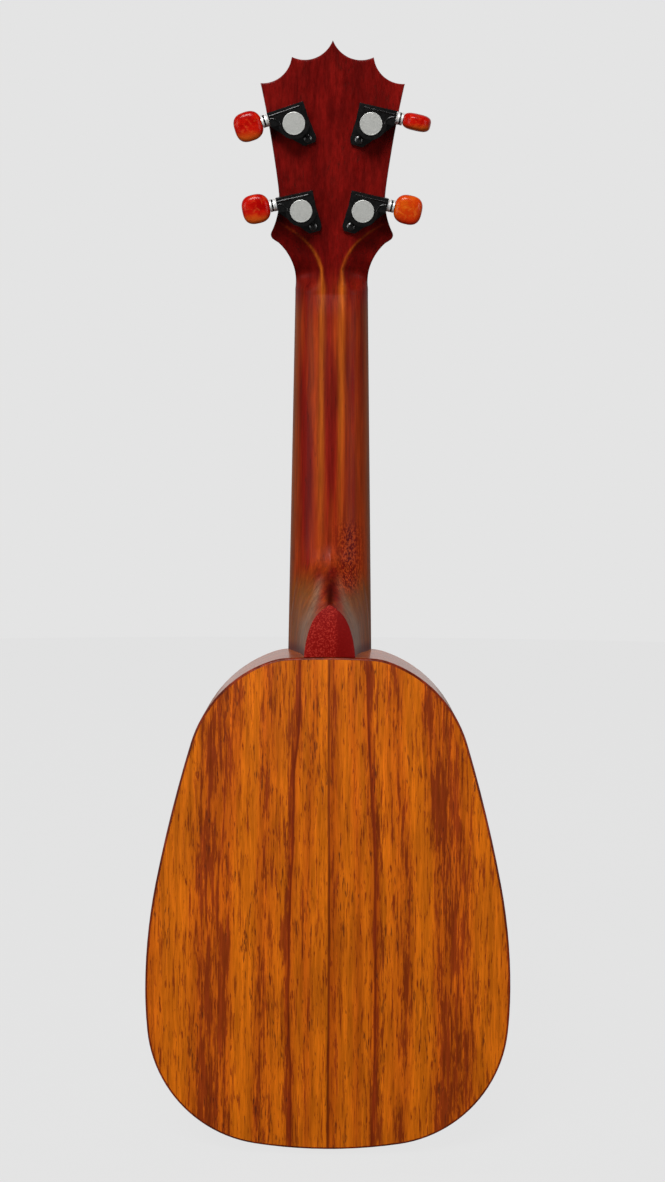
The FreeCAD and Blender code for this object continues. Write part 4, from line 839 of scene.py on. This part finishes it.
def neckRow(s):
    # an even run of points over the back, from one gluing edge to the other
    half = neckHalf(s)
    table = heelTable(s) if s < shaft["end"] + heel["length"] + 1 else None
    dense = [(-half, 0.0)]
    for n in range(321):
        x = half * math.sin((n / 160 - 1) * math.pi / 2)
        dense.append((x, neckDepth(x, s, table)))
    dense.append((half, 0.0))
    dense = np.array(dense)
    gaps = np.hypot(*np.diff(dense, axis=0).T)
    length = np.concatenate([[0], np.cumsum(gaps)])
    even = np.linspace(0, length[-1], neckLook["columns"])
    return list(zip(np.interp(even, length, dense[:, 0]), np.interp(even, length, dense[:, 1])))


def neckPoint(x, s, depth):
    # the headstock leans back, so its thickness direction turns with it
    lean = math.radians(head["angle"])
    turn = lean * step(s, -16, 30)
    up = max(0.0, s - head["start"])
    y = -up * math.sin(lean) - depth * math.cos(turn)
    z = min(s, head["start"]) + up * math.cos(lean) - depth * math.sin(turn)
    return Vector((x * mm, y * mm, z * mm))


def wearAndHighlightAt(x, s):
    # the stain rubbed thin along both ridges and both gluing edges, together with a painted highlight along them
    ridge = ridgeAt(s)
    up = s - head["start"]
    wide = 0.8 + 0.9 * step(up, 12, 2)
    near = bump(abs(x), ridge, wide)
    if up > 0:
        strength = 0.35 + 0.65 * step(up, 34, 8)
        strength *= step(up, 37, 33)
    else:
        strength = 0.9 * step(s, -150, -60)
    edge = bump(neckHalf(s) - abs(x), 0, 1.0) * 0.5 * step(s, 6, -6)
    return min(1.0, near * strength + edge)


def stippleAndShadingAt(x, s):
    # near the heel: a painted rim light and a painted sheen on the flanks, a stippled patch, and a painted shadow in
    # the recess above the cap's tip and where the neck meets the body
    half = neckHalf(s)
    tip = shaft["end"] + heel["capLength"]
    # painted rim light along the shaft's edges and beside the heel cap
    glow = bump(half - abs(x), 0, 2.6) * step(s, 6, -6) * 0.75
    glow = max(glow, step(s, -128, -146) * step(abs(x), 5, 9))
    glow *= step(s, shaft["end"] - 1, shaft["end"] + 6)
    wide = np.interp(s, [-174, -160, -148, -136], [14.5, 12.8, 7.5, 4.5])
    # painted sheen beside the heel cap
    paintedSheen = bump(abs(x), wide, 1.9) * step(s, -175, -168) * step(s, -133, -143)
    stipple = bump(x, 9.5, 5.5) * step(s, -104, -116) * step(s, -150, -138)
    above = s - tip
    # painted shadow in the recess just above the cap's tip
    recessShadow = bump(x, 0, 1.8 + 0.16 * max(0.0, above)) * step(above, -1.5, 1.0) * (1 - step(above, 2, 24))
    # painted shade at the foot of the neck, where it meets the body
    recessShadow = max(recessShadow, 0.7 * (1 - step(s, shaft["end"] + 1, shaft["end"] + 6)))
    return glow, paintedSheen, min(1.0, stipple), min(0.95, recessShadow)


def makeNeck():
    rows, stainsAndShading = [], []
    stops = [shaft["end"] + 1.3 * n for n in range(50)]
    stops += [-106 + 4 * n for n in range(21)]
    stops += [-22 + 1.0 * n for n in range(68)]
    stops += [46.5 + 3.9 * n for n in range(15)]
    for s in stops:
        row = []
        for x, depth in neckRow(s):
            shifted = s
            if s < -160:
                shifted += (outlineTop(x * mm) / mm - shaft["end"]) * step(s, -160, shaft["end"])
            row.append(neckPoint(x, shifted, depth))
            stainsAndShading.append((wearAndHighlightAt(x, s), *stippleAndShadingAt(x, s)))
        rows.append(row)
    straightRows = len(rows)
    # above the last straight row the columns run on up to the scalloped crown
    low = stops[-1] - head["start"]
    half = neckHalf(stops[-1])
    base = neckRow(stops[-1])
    shares = [x / half for x, _ in base]
    peak = crownInner[0] / crownOuter[0]
    nearest = min(shares, key=lambda share: abs(share - peak))
    eased = neckLook["easedEdge"]
    # each row: its share of the way up, how far it stops short of the crown, and its greatest depth
    plan = [(n / 12, 0.0, 99.0) for n in range(1, 12)]
    for turn in (0.0, 0.5, 1.0, 1.5708):
        plan.append((1.0, eased * (1 - math.sin(turn)), head["thickness"] - eased * (1 - math.cos(turn))))
    plan += [(1.0, 0.0, head["thickness"] / 2), (1.0, 0.0, 0.0)]
    for share, short, most in plan:
        row = []
        for (x, depth), place in zip(base, shares):
            if abs(place) <= nearest:
                warped = place * peak / nearest
            else:
                warped = math.copysign(peak + (abs(place) - nearest) * (1 - peak) / (1 - nearest), place)
            across = place + (warped - place) * share
            width = half + (crownOuter[0] - half) * share
            top = float(np.interp(abs(across) * crownOuter[0], crownAcross, crownUp)) - short
            lift = low + (top - low) * share
            row.append(neckPoint(across * width, lift + head["start"], min(depth, most)))
        rows.append(row)
        stainsAndShading += [(0.0,) * 5] * len(row)
    columns = neckLook["columns"]
    verts = [point for row in rows for point in row]
    faces = []
    for r in range(len(rows) - 1):
        for c in range(columns - 1):
            a, b = r * columns + c, (r + 1) * columns + c
            faces.append((a, b, b + 1, a + 1))
    bend = min(range(straightRows), key=lambda n: abs(stops[n] - head["start"]))
    last = len(rows) - 1
    face = [r * columns for r in range(bend + 1)]
    faces.append(face + [r * columns + columns - 1 for r in range(bend, -1, -1)])
    face = [r * columns for r in range(bend, last)]
    face += [last * columns + c for c in range(columns)]
    face += [r * columns + columns - 1 for r in range(last - 1, bend - 1, -1)]
    faces.append(face)
    faces.append(list(range(columns))[::-1])
    piece = meshObject("neckShell", verts, faces, [neckWood])
    # per point: wear and painted highlight, painted rim light, painted sheen, stipple, painted shadow
    for n, label in enumerate(("ridgeWearAndHighlight", "flankPaintedLight", "flankPaintedSheen", "stipple", "recessShadow")):
        addAttribute(piece, label, [stain[n] for stain in stainsAndShading])
    cleaned(piece, 0.00002)
    sharpen(piece, 42)
    hand(piece, "root", "neck_wood", "neck")


print("neck")
makeNeck()


# body

bodyLook = {"depthAtNeck": 54, "depthAtTail": 62, "seamClear": 0.4, "backEase": 1.1, "topEase": 0.5}


def edgeMiddle(edge):
    return (edge.verts[0].co + edge.verts[1].co) / 2


def outerBackEdge(edge):
    # the rim of the back plate, on its outside face
    middle = edgeMiddle(edge)
    fall = (shaft["end"] * mm - middle.z) / (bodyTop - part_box("back_left")[0].z)
    back = -(bodyLook["depthAtNeck"] + (bodyLook["depthAtTail"] - bodyLook["depthAtNeck"]) * fall) * mm
    return abs(middle.x) > bodyLook["seamClear"] * mm and middle.y < back + 0.0007


def topEdge(edge):
    # the rim of the soundboard and of its sound hole, on the outside face
    middle = edgeMiddle(edge)
    return abs(middle.x) > bodyLook["seamClear"] * mm and middle.y > -0.0003


def addGrainPath(piece):
    # depth, a zero, and distance round the body, for grain that follows the bent rib
    attribute = piece.data.attributes.new("grainPath", "FLOAT_VECTOR", "POINT")
    for n, vert in enumerate(piece.data.vertices):
        attribute.data[n].vector = (vert.co.y, 0.0, alongOutline(vert.co.x, vert.co.z))


def makeBody():
    for side in ("left", "right"):
        ease = bodyLook["backEase"] * mm
        # the rounded rims of the back and soundboard take koaEdge, partly a painted reflection of dark surroundings
        plate = easedCopy("backPlate_" + side, "back_" + side, koaBack, ease, 4, outerBackEdge, koaEdge)
        hand(plate, "root", "back_wood", "back_" + side)
        rib = easedCopy("rib_" + side, "side_" + side, koaSide, 0.0, 1, lambda edge: False)
        addGrainPath(rib)
        hand(rib, "root", "side_wood", "side_" + side)
        ease, board = bodyLook["topEase"] * mm, "soundboard_" + side
        top = easedCopy(board + "_koa", board, koaTop, ease, 3, topEdge, koaEdge)
        hand(top, "root", "top_wood", board)
    cap = easedCopy("heelCapPlate", "heel_cap", capWood, 0.0003, 2)
    hand(cap, "root", "heel_cap_wood", "heel_cap")


print("body")
makeBody()


# tuning machines

tunerLook = {
    "capRadius": 5.4, "capLow": 7.6, "capHigh": 8.7, "rim": 0.22,
    "buttonLong": 13.7, "buttonWide": 14.0, "buttonThick": 8.0, "buttonStart": 14.5,
    "ridgePath": [(10.3, 5.4), (7.9, 4.4), (6.5, 1.2)], "ridgeLine": [(10.3, 6.7), (-5.0, 6.9)],
    "ridgeHeight": 8.1, "ridgeRadius": 0.5, "ridgeStep": 0.3,
    "collarInner": 2.3, "collarOuter": 2.93, "collarBelow": 1.8, "collarLong": 0.9, "collarEase": 0.1,
    "postRadius": 2.8, "windingStart": 18.55,
}
# turns wound on each post, and each string's radius in mm
stringLook = {"g": (4.2, 0.325), "c": (3.6, 0.455), "e": (3.8, 0.405), "a": (4.5, 0.30)}


def makeCaps():
    r, low, high, rim = (tunerLook[key] * mm for key in ("capRadius", "capLow", "capHigh", "rim"))
    # radius, height, and 1 for the bright rim or 0 for the satin face
    face = [
        (0, low, 0), (r, low, 1), (r, high - rim, 1), (r - 0.3 * rim, high - 0.3 * rim, 1), (r - rim, high, 1),
        (r - 1.6 * rim, high, 1), (r - 2 * rim, high - 0.5 * rim, 0),
        (r * 0.5, high - 0.35 * rim, 0), (0, high - 0.3 * rim, 0),
    ]
    caps = []
    for name in strings:
        caps.append(lathePiece("cap_" + name, face, [capMetal, rimMetal], 64, tunerMatrix(name)))
    return joinPieces("tunerCaps", caps)


def joinPieces(name, pieces):
    bm = bmesh.new()
    for piece in pieces:
        bm.from_mesh(piece.data)
    mesh = bpy.data.meshes.new(name)
    bm.to_mesh(mesh)
    bm.free()
    for material in pieces[0].data.materials:
        mesh.materials.append(material)
    for piece in pieces:
        bpy.data.objects.remove(piece)
    made = bpy.data.objects.new(name, mesh)
    bpy.context.scene.collection.objects.link(made)
    return made


def makeButton(name):
    # a rounded cushion, a little narrower at the stem
    keys = ("buttonLong", "buttonWide", "buttonThick", "buttonStart")
    long, wide, thick, start = (tunerLook[key] * mm for key in keys)
    rings, spokes = 40, 64
    verts = []

    def power(value, exponent):
        return math.copysign(abs(value) ** exponent, value)

    for i in range(rings + 1):
        tilt = math.pi * i / rings - math.pi / 2
        for j in range(spokes):
            turn = 2 * math.pi * j / spokes
            flat = power(math.cos(tilt), 0.62)
            z = power(math.sin(turn), 0.72) * flat
            y = power(math.cos(turn), 0.72) * flat
            x = power(math.sin(tilt), 0.62)
            taper = 1 - 0.07 * (z < 0) * z * z
            across = y * wide / 2 * taper
            verts.append((x * thick / 2, across, start + (z + 1) * long / 2))
    material, slot = (orangePearl, "button_orange") if name == "g" else (redPearl, "button_red")
    piece = meshObject("pearlButton_" + name, verts, rowFaces(rings, spokes), [material])
    cleaned(piece, 0.00001)
    if name == "c":  # this one stands edge on
        piece.data.transform(Matrix.Rotation(math.radians(90), 4, "Z"))
    piece.data.transform(shaftMatrix(name))
    heights = [vert.co.z for vert in piece.data.vertices]
    top, bottom = max(heights), min(heights)
    addAttribute(piece, "lowShare", [(top - height) / (top - bottom) for height in heights])
    hand(piece, "knob_" + name, slot, "button_" + name)


def ridgeTree():
    tree, given, result = newTree("raiseRidge", [
        ("Radius", "NodeSocketFloat", 0.0004), ("Step", "NodeSocketFloat", 0.0003),
        ("Finish", "NodeSocketMaterial", None),
    ])
    line = addNode(tree, "GeometryNodeMeshToCurve", {"Mesh": given.outputs["Geometry"]})
    inputs = {"Curve": line.outputs[0], "Length": given.outputs["Step"]}
    even = addNode(tree, "GeometryNodeResampleCurve", inputs, mode="LENGTH")
    return endTree(tree, given, result, sweepCurve(tree, given, even.outputs[0], 16, "Radius"))


raiseRidge = ridgeTree()


def makeRidge(name):
    # the casting's curved rib, from the arm round to the cap, and the straight one along the arm's edge
    side = tunerSide(name)
    curved = arcPoints(*tunerLook["ridgePath"], 16)
    base = bpy.data.meshes.new("ridge_" + name)
    path = curved + tunerLook["ridgeLine"]
    verts = [(side * x * mm, y * mm, tunerLook["ridgeHeight"] * mm) for x, y in path]
    links = [(n, n + 1) for n in range(len(path) - 1) if n != len(curved) - 1]
    base.from_pydata(verts, links, [])
    values = {"Radius": tunerLook["ridgeRadius"] * mm, "Step": tunerLook["ridgeStep"] * mm, "Finish": blackHousing}
    ridge = runTree("ridge_" + name, raiseRidge, values, base)
    ridge.data.transform(tunerMatrix(name))
    sharpen(ridge, 60)
    return ridge


def makeCollarRing(name):
    # the black ring in the collar's groove
    look = tunerLook
    low = look["buttonStart"] - look["collarBelow"]
    high, inner, outer, ease = low + look["collarLong"], look["collarInner"], look["collarOuter"], look["collarEase"]
    eased = outer - 0.7 * ease
    profile = [(inner, low), (eased, low), (outer, low + ease), (outer, high - ease), (eased, high), (inner, high)]
    rows = [(radius * mm, height * mm, 0) for radius, height in profile + profile[:1]]
    ring = lathePiece("collarRing_" + name, rows, [collarBlack], 48, shaftMatrix(name))
    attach(ring, "knob_" + name)


def makeTuners():
    for name in strings:
        shell = easedCopy("shell_" + name, "tuner_housing_" + name, blackHousing, 0.00045, 3, None, None, 50)
        housing = joinPieces("housing_" + name, [shell, makeRidge(name)])
        sharpen(housing)
        hand(housing, "root", "housing_black", "tuner_housing_" + name)
        makeCollarRing(name)
        makeButton(name)
        turns, gauge = stringLook[name][0], stringLook[name][1] * mm
        coil = runTree("coil_" + name, windCoil, {
            "Turns": turns, "Radius": tunerLook["postRadius"] * mm + gauge, "Height": 2 * gauge * turns,
            "Gauge": gauge * 0.98, "Finish": nylon,
        })
        coil.data.transform(Matrix.Translation((0, 0, -tunerLook["windingStart"] * mm - gauge * turns)))
        coil.data.transform(tunerMatrix(name))
        sharpen(coil)
        hand(coil, "post_" + name, "string_nylon", "string_winding_" + name)
    caps = makeCaps()
    hand(caps, "root", "cover_metal", "tuner_covers")


print("tuners")
makeTuners()


# screws and frets: one unit each, set by Geometry Nodes, the screws beside each housing and the frets on the places
# of the CAD solids

def islandBoxes(node):
    # the box of each loose solid of a node
    bm = bmesh.new()
    bm.from_mesh(frame["nodes"][node].data)
    bmesh.ops.remove_doubles(bm, verts=bm.verts, dist=0.00001)
    seen, boxes = set(), []
    for vert in bm.verts:
        if vert in seen:
            continue
        stack, found = [vert], []
        seen.add(vert)
        while stack:
            here = stack.pop()
            found.append(here.co.copy())
            for edge in here.link_edges:
                there = edge.other_vert(here)
                if there not in seen:
                    seen.add(there)
                    stack.append(there)
        low = Vector([min(p[n] for p in found) for n in range(3)])
        high = Vector([max(p[n] for p in found) for n in range(3)])
        boxes.append((low, high))
    bm.free()
    return boxes


# sizes in mm; across and along place the screw as shares of the housing's radius
screwLook = {
    "head": 2.0, "dome": 1.1, "shank": 1.1, "length": 7.0, "cross": 0.32, "reach": 1.15, "deep": 0.5, "plate": 1.6,
    "housingRadius": 7.4, "across": 0.55, "along": 1.18,
}


def makeScrews():
    # a domed head with a cross recess, on a plain shank
    look = screwLook
    rings, spokes = 26, 72
    verts = []
    for i in range(rings):
        radius = look["head"] * i / (rings - 1)
        height = look["dome"] * math.sqrt(max(0.0, 1 - 0.8 * (radius / look["head"]) ** 2))
        for x, y, _ in circle(spokes, radius):
            inCross = min(abs(x), abs(y)) < look["cross"] and radius < look["reach"]
            verts.append((x * mm, y * mm, (height - look["deep"] * inCross + look["plate"]) * mm))
    for radius, height in (("head", look["plate"]), ("shank", look["plate"]), ("shank", -look["length"])):
        verts += circle(spokes, look[radius] * mm, height * mm)
    faces = rowFaces(rings + 2, spokes) + [range((rings + 2) * spokes, (rings + 3) * spokes)]
    unit = meshObject("screwUnit", verts, faces, [screwMetal])
    cleaned(unit, 0.000003)
    places = []
    for n, name in enumerate(strings):
        across, along = (look[key] * look["housingRadius"] * mm for key in ("across", "along"))
        place = Matrix.Translation((-tunerSide(name) * across, -along, 0))
        places.append(tunerMatrix(name) @ place @ Matrix.Rotation(0.4 + 0.9 * n, 4, "Z"))
    hand(placeCopies("screws", unit, places, screwMetal), "root", slots["tuner_screws"], "tuner_screws")


# shares of a fret's height and, for the tang, of its width
fretLook = {"crown": 0.32, "tang": 0.15, "under": 0.4}


def makeFrets():
    # a rounded crown over a thin tang
    crown, tang, under = fretLook["crown"], fretLook["tang"], fretLook["under"]
    half = [(tang, -1.0), (tang, -under), (0.5, -under), (0.5, -crown)]
    half += [(0.5 * math.cos(turn), crown * (math.sin(turn) - 1)) for turn in (0.3, 0.6, 0.9, 1.2)]
    section = half + [(0.0, 0.0)] + [(-z, y) for z, y in reversed(half)]
    count = len(section)
    verts = [(x, y, z) for x in (-0.5, 0.5) for z, y in section]
    faces = [(n, (n + 1) % count, count + (n + 1) % count, count + n) for n in range(count)]
    faces += [list(range(count))[::-1], list(range(count, 2 * count))]
    unit = meshObject("fretUnit", verts, faces, [fretMetal])
    cleaned(unit)
    places = []
    for low, high in islandBoxes("frets"):
        middle = (low + high) / 2
        size = high - low
        top = Matrix.Translation((middle.x, high.y, middle.z))
        places.append(top @ Matrix.Diagonal((size.x, size.y, size.z, 1)))
    hand(placeCopies("fretWire", unit, places, fretMetal), "root", slots["frets"], "frets")


print("screws and frets")
makeScrews()
makeFrets()


# the headstock's front veneer: koa on its face, the neck's stain on its edges

def makeVeneer():
    piece = easedCopy("veneerPlate", "head_veneer", veneerWood, 0.0002, 2, None, neckWood)
    lean = math.radians(head["angle"])
    out = Vector((0, math.cos(lean), math.sin(lean)))
    for face in piece.data.polygons:
        face.material_index = 0 if face.normal.dot(out) > 0.9 else 1
    hand(piece, "root", slots["head_veneer"], "head_veneer")


makeVeneer()


# pieces that only need their edges eased

easedLook = {
    "fingerboard": (rosewood, 0.35), "bridge": (bridgeWood, 0.5), "nut": (bone, 0.3), "saddle": (bone, 0.25),
    "tuner_washers": (plating, 0.3), "tuner_bushings": (plating, 0.15), "shaft_washers": (washerWhite, 0.1),
}

print("eased pieces")
for node, (material, width) in easedLook.items():
    hand(easedCopy(node + "_eased", node, material, width * mm, 3), "root", slots[node], node)


# CAD pieces whose shape is right take a material of their own

def dress(node, material):
    mesh = frame["nodes"][node].data
    mesh.materials.clear()
    mesh.materials.append(material)


plainNodes = {
    mosaic: ("rosette",),
    markerPearl: ("fret_markers",),
    blockWood: ("neck_block", "tail_block", "neck_dowel"),
    spruce: ("top_linings", "back_linings", "top_braces", "back_braces", "bridge_patch", "back_seam_strip"),
}
print("carried-over pieces")
for material, nodes in plainNodes.items():
    for node in nodes:
        dress(node, material)
for name in strings:
    dress("worm_shaft_" + name, shaftSteel)
    dress("worm_wheel_" + name, wheelBrass)
    dress("string_post_" + name, plating)
    dress("string_" + name, nylon)


# stage: pale floor, soft lights, camera

stageLook = {
    "grey": 0.776, "glowFront": 0.02, "glowBehind": 0.6, "glowAbove": 0.35,
    "floorDrop": 0.004, "floorReach": 3.0, "floorSeen": 0.97, "floorGlow": 0.06,
}
# each light: where it stands, its width and height, and its power in watts
lightLook = {
    "keyAbove": ((-0.5, -2.4, 1.9), (1.6, 1.0), 112),
    "fillLeft": ((-1.25, -1.0, -0.1), (0.7, 1.2), 8),
    "fillRight": ((1.25, -1.0, -0.1), (0.7, 1.2), 7),
}
lightTarget = Vector((0, 0, -0.15))
cameraLook = {"away": 0.908, "across": 0.00123, "up": -0.093, "pitch": 0.0564, "roll": 0.0054, "lens": 54.6}


def makeWorld():
    world = bpy.data.worlds.new("studio")
    bpy.context.scene.world = world
    world.use_nodes = True
    tree = world.node_tree
    grey = stageLook["grey"]
    # seen plainly it is one even grey; as a light it glows from behind the object and stays dark over the lens
    background = tree.nodes["Background"]
    toward = addNode(tree, "ShaderNodeTexCoord").outputs["Generated"]
    parts = addNode(tree, "ShaderNodeSeparateXYZ", {0: toward}).outputs
    behind = smoothRange(tree, parts[1], -0.25, 0.5, stageLook["glowFront"], stageLook["glowBehind"])
    above = smoothRange(tree, parts[2], 0.15, 0.8, 1.0, stageLook["glowAbove"])
    glow = calc(tree, "MULTIPLY", behind, above)
    seen = addNode(tree, "ShaderNodeLightPath").outputs["Is Camera Ray"]
    level = addNode(tree, "ShaderNodeMix", {0: seen, 2: glow, 3: grey}, data_type="FLOAT").outputs[0]
    even = addNode(tree, "ShaderNodeCombineColor", {0: level, 1: level, 2: level}).outputs[0]
    tree.links.new(even, background.inputs["Color"])


def makeFloor():
    grey = stageLook["grey"]
    material, tree, shader = newMaterial("paleFloor")
    place = objectPlace(tree)
    speck = noiseField(tree, place, (40, 40, 40), 2)
    tone = mixColor(tree, speck, (0.02, 0.02, 0.02), (0.025, 0.025, 0.025))
    tree.links.new(tone, shader.inputs["Base Color"])
    shader.inputs["Emission Color"].default_value = (grey, grey, grey, 1)
    seen = addNode(tree, "ShaderNodeLightPath").outputs["Is Camera Ray"]
    inputs = {0: seen, 2: stageLook["floorGlow"], 3: stageLook["floorSeen"]}
    bright = addNode(tree, "ShaderNodeMix", inputs, data_type="FLOAT").outputs[0]
    tree.links.new(bright, shader.inputs["Emission Strength"])
    shader.inputs["Roughness"].default_value = 1.0
    shader.inputs["Specular IOR Level"].default_value = 0.0
    reach = stageLook["floorReach"]
    level = cadBox[0][2] - stageLook["floorDrop"]
    floor = meshObject("floor", circle(64, reach, level), [range(64)], [material], False)


def areaLight(name, place, size, power):
    light = bpy.data.lights.new(name, "AREA")
    light.shape = "RECTANGLE"
    light.size, light.size_y = size
    light.energy = power
    lamp = bpy.data.objects.new(name, light)
    lamp.location = place
    lamp.rotation_euler = (lightTarget - Vector(place)).to_track_quat("-Z", "Y").to_euler()
    bpy.context.scene.collection.objects.link(lamp)


def makeCamera():
    camera = bpy.data.cameras.new("camera")
    camera.sensor_fit = "VERTICAL"
    camera.sensor_height = 36
    camera.lens = cameraLook["lens"]
    eye = bpy.data.objects.new("camera", camera)
    turn = Matrix.Rotation(math.pi / 2 - cameraLook["pitch"], 4, "X") @ Matrix.Rotation(cameraLook["roll"], 4, "Z")
    place = Vector((cameraLook["across"], -cameraLook["away"], cameraLook["up"]))
    eye.matrix_world = Matrix.Translation(place) @ turn
    bpy.context.scene.collection.objects.link(eye)
    bpy.context.scene.camera = eye


print("stage")
bpy.context.scene.view_settings.view_transform = "Standard"
makeWorld()
makeFloor()
for name, look in lightLook.items():
    areaLight(name, *look)
makeCamera()
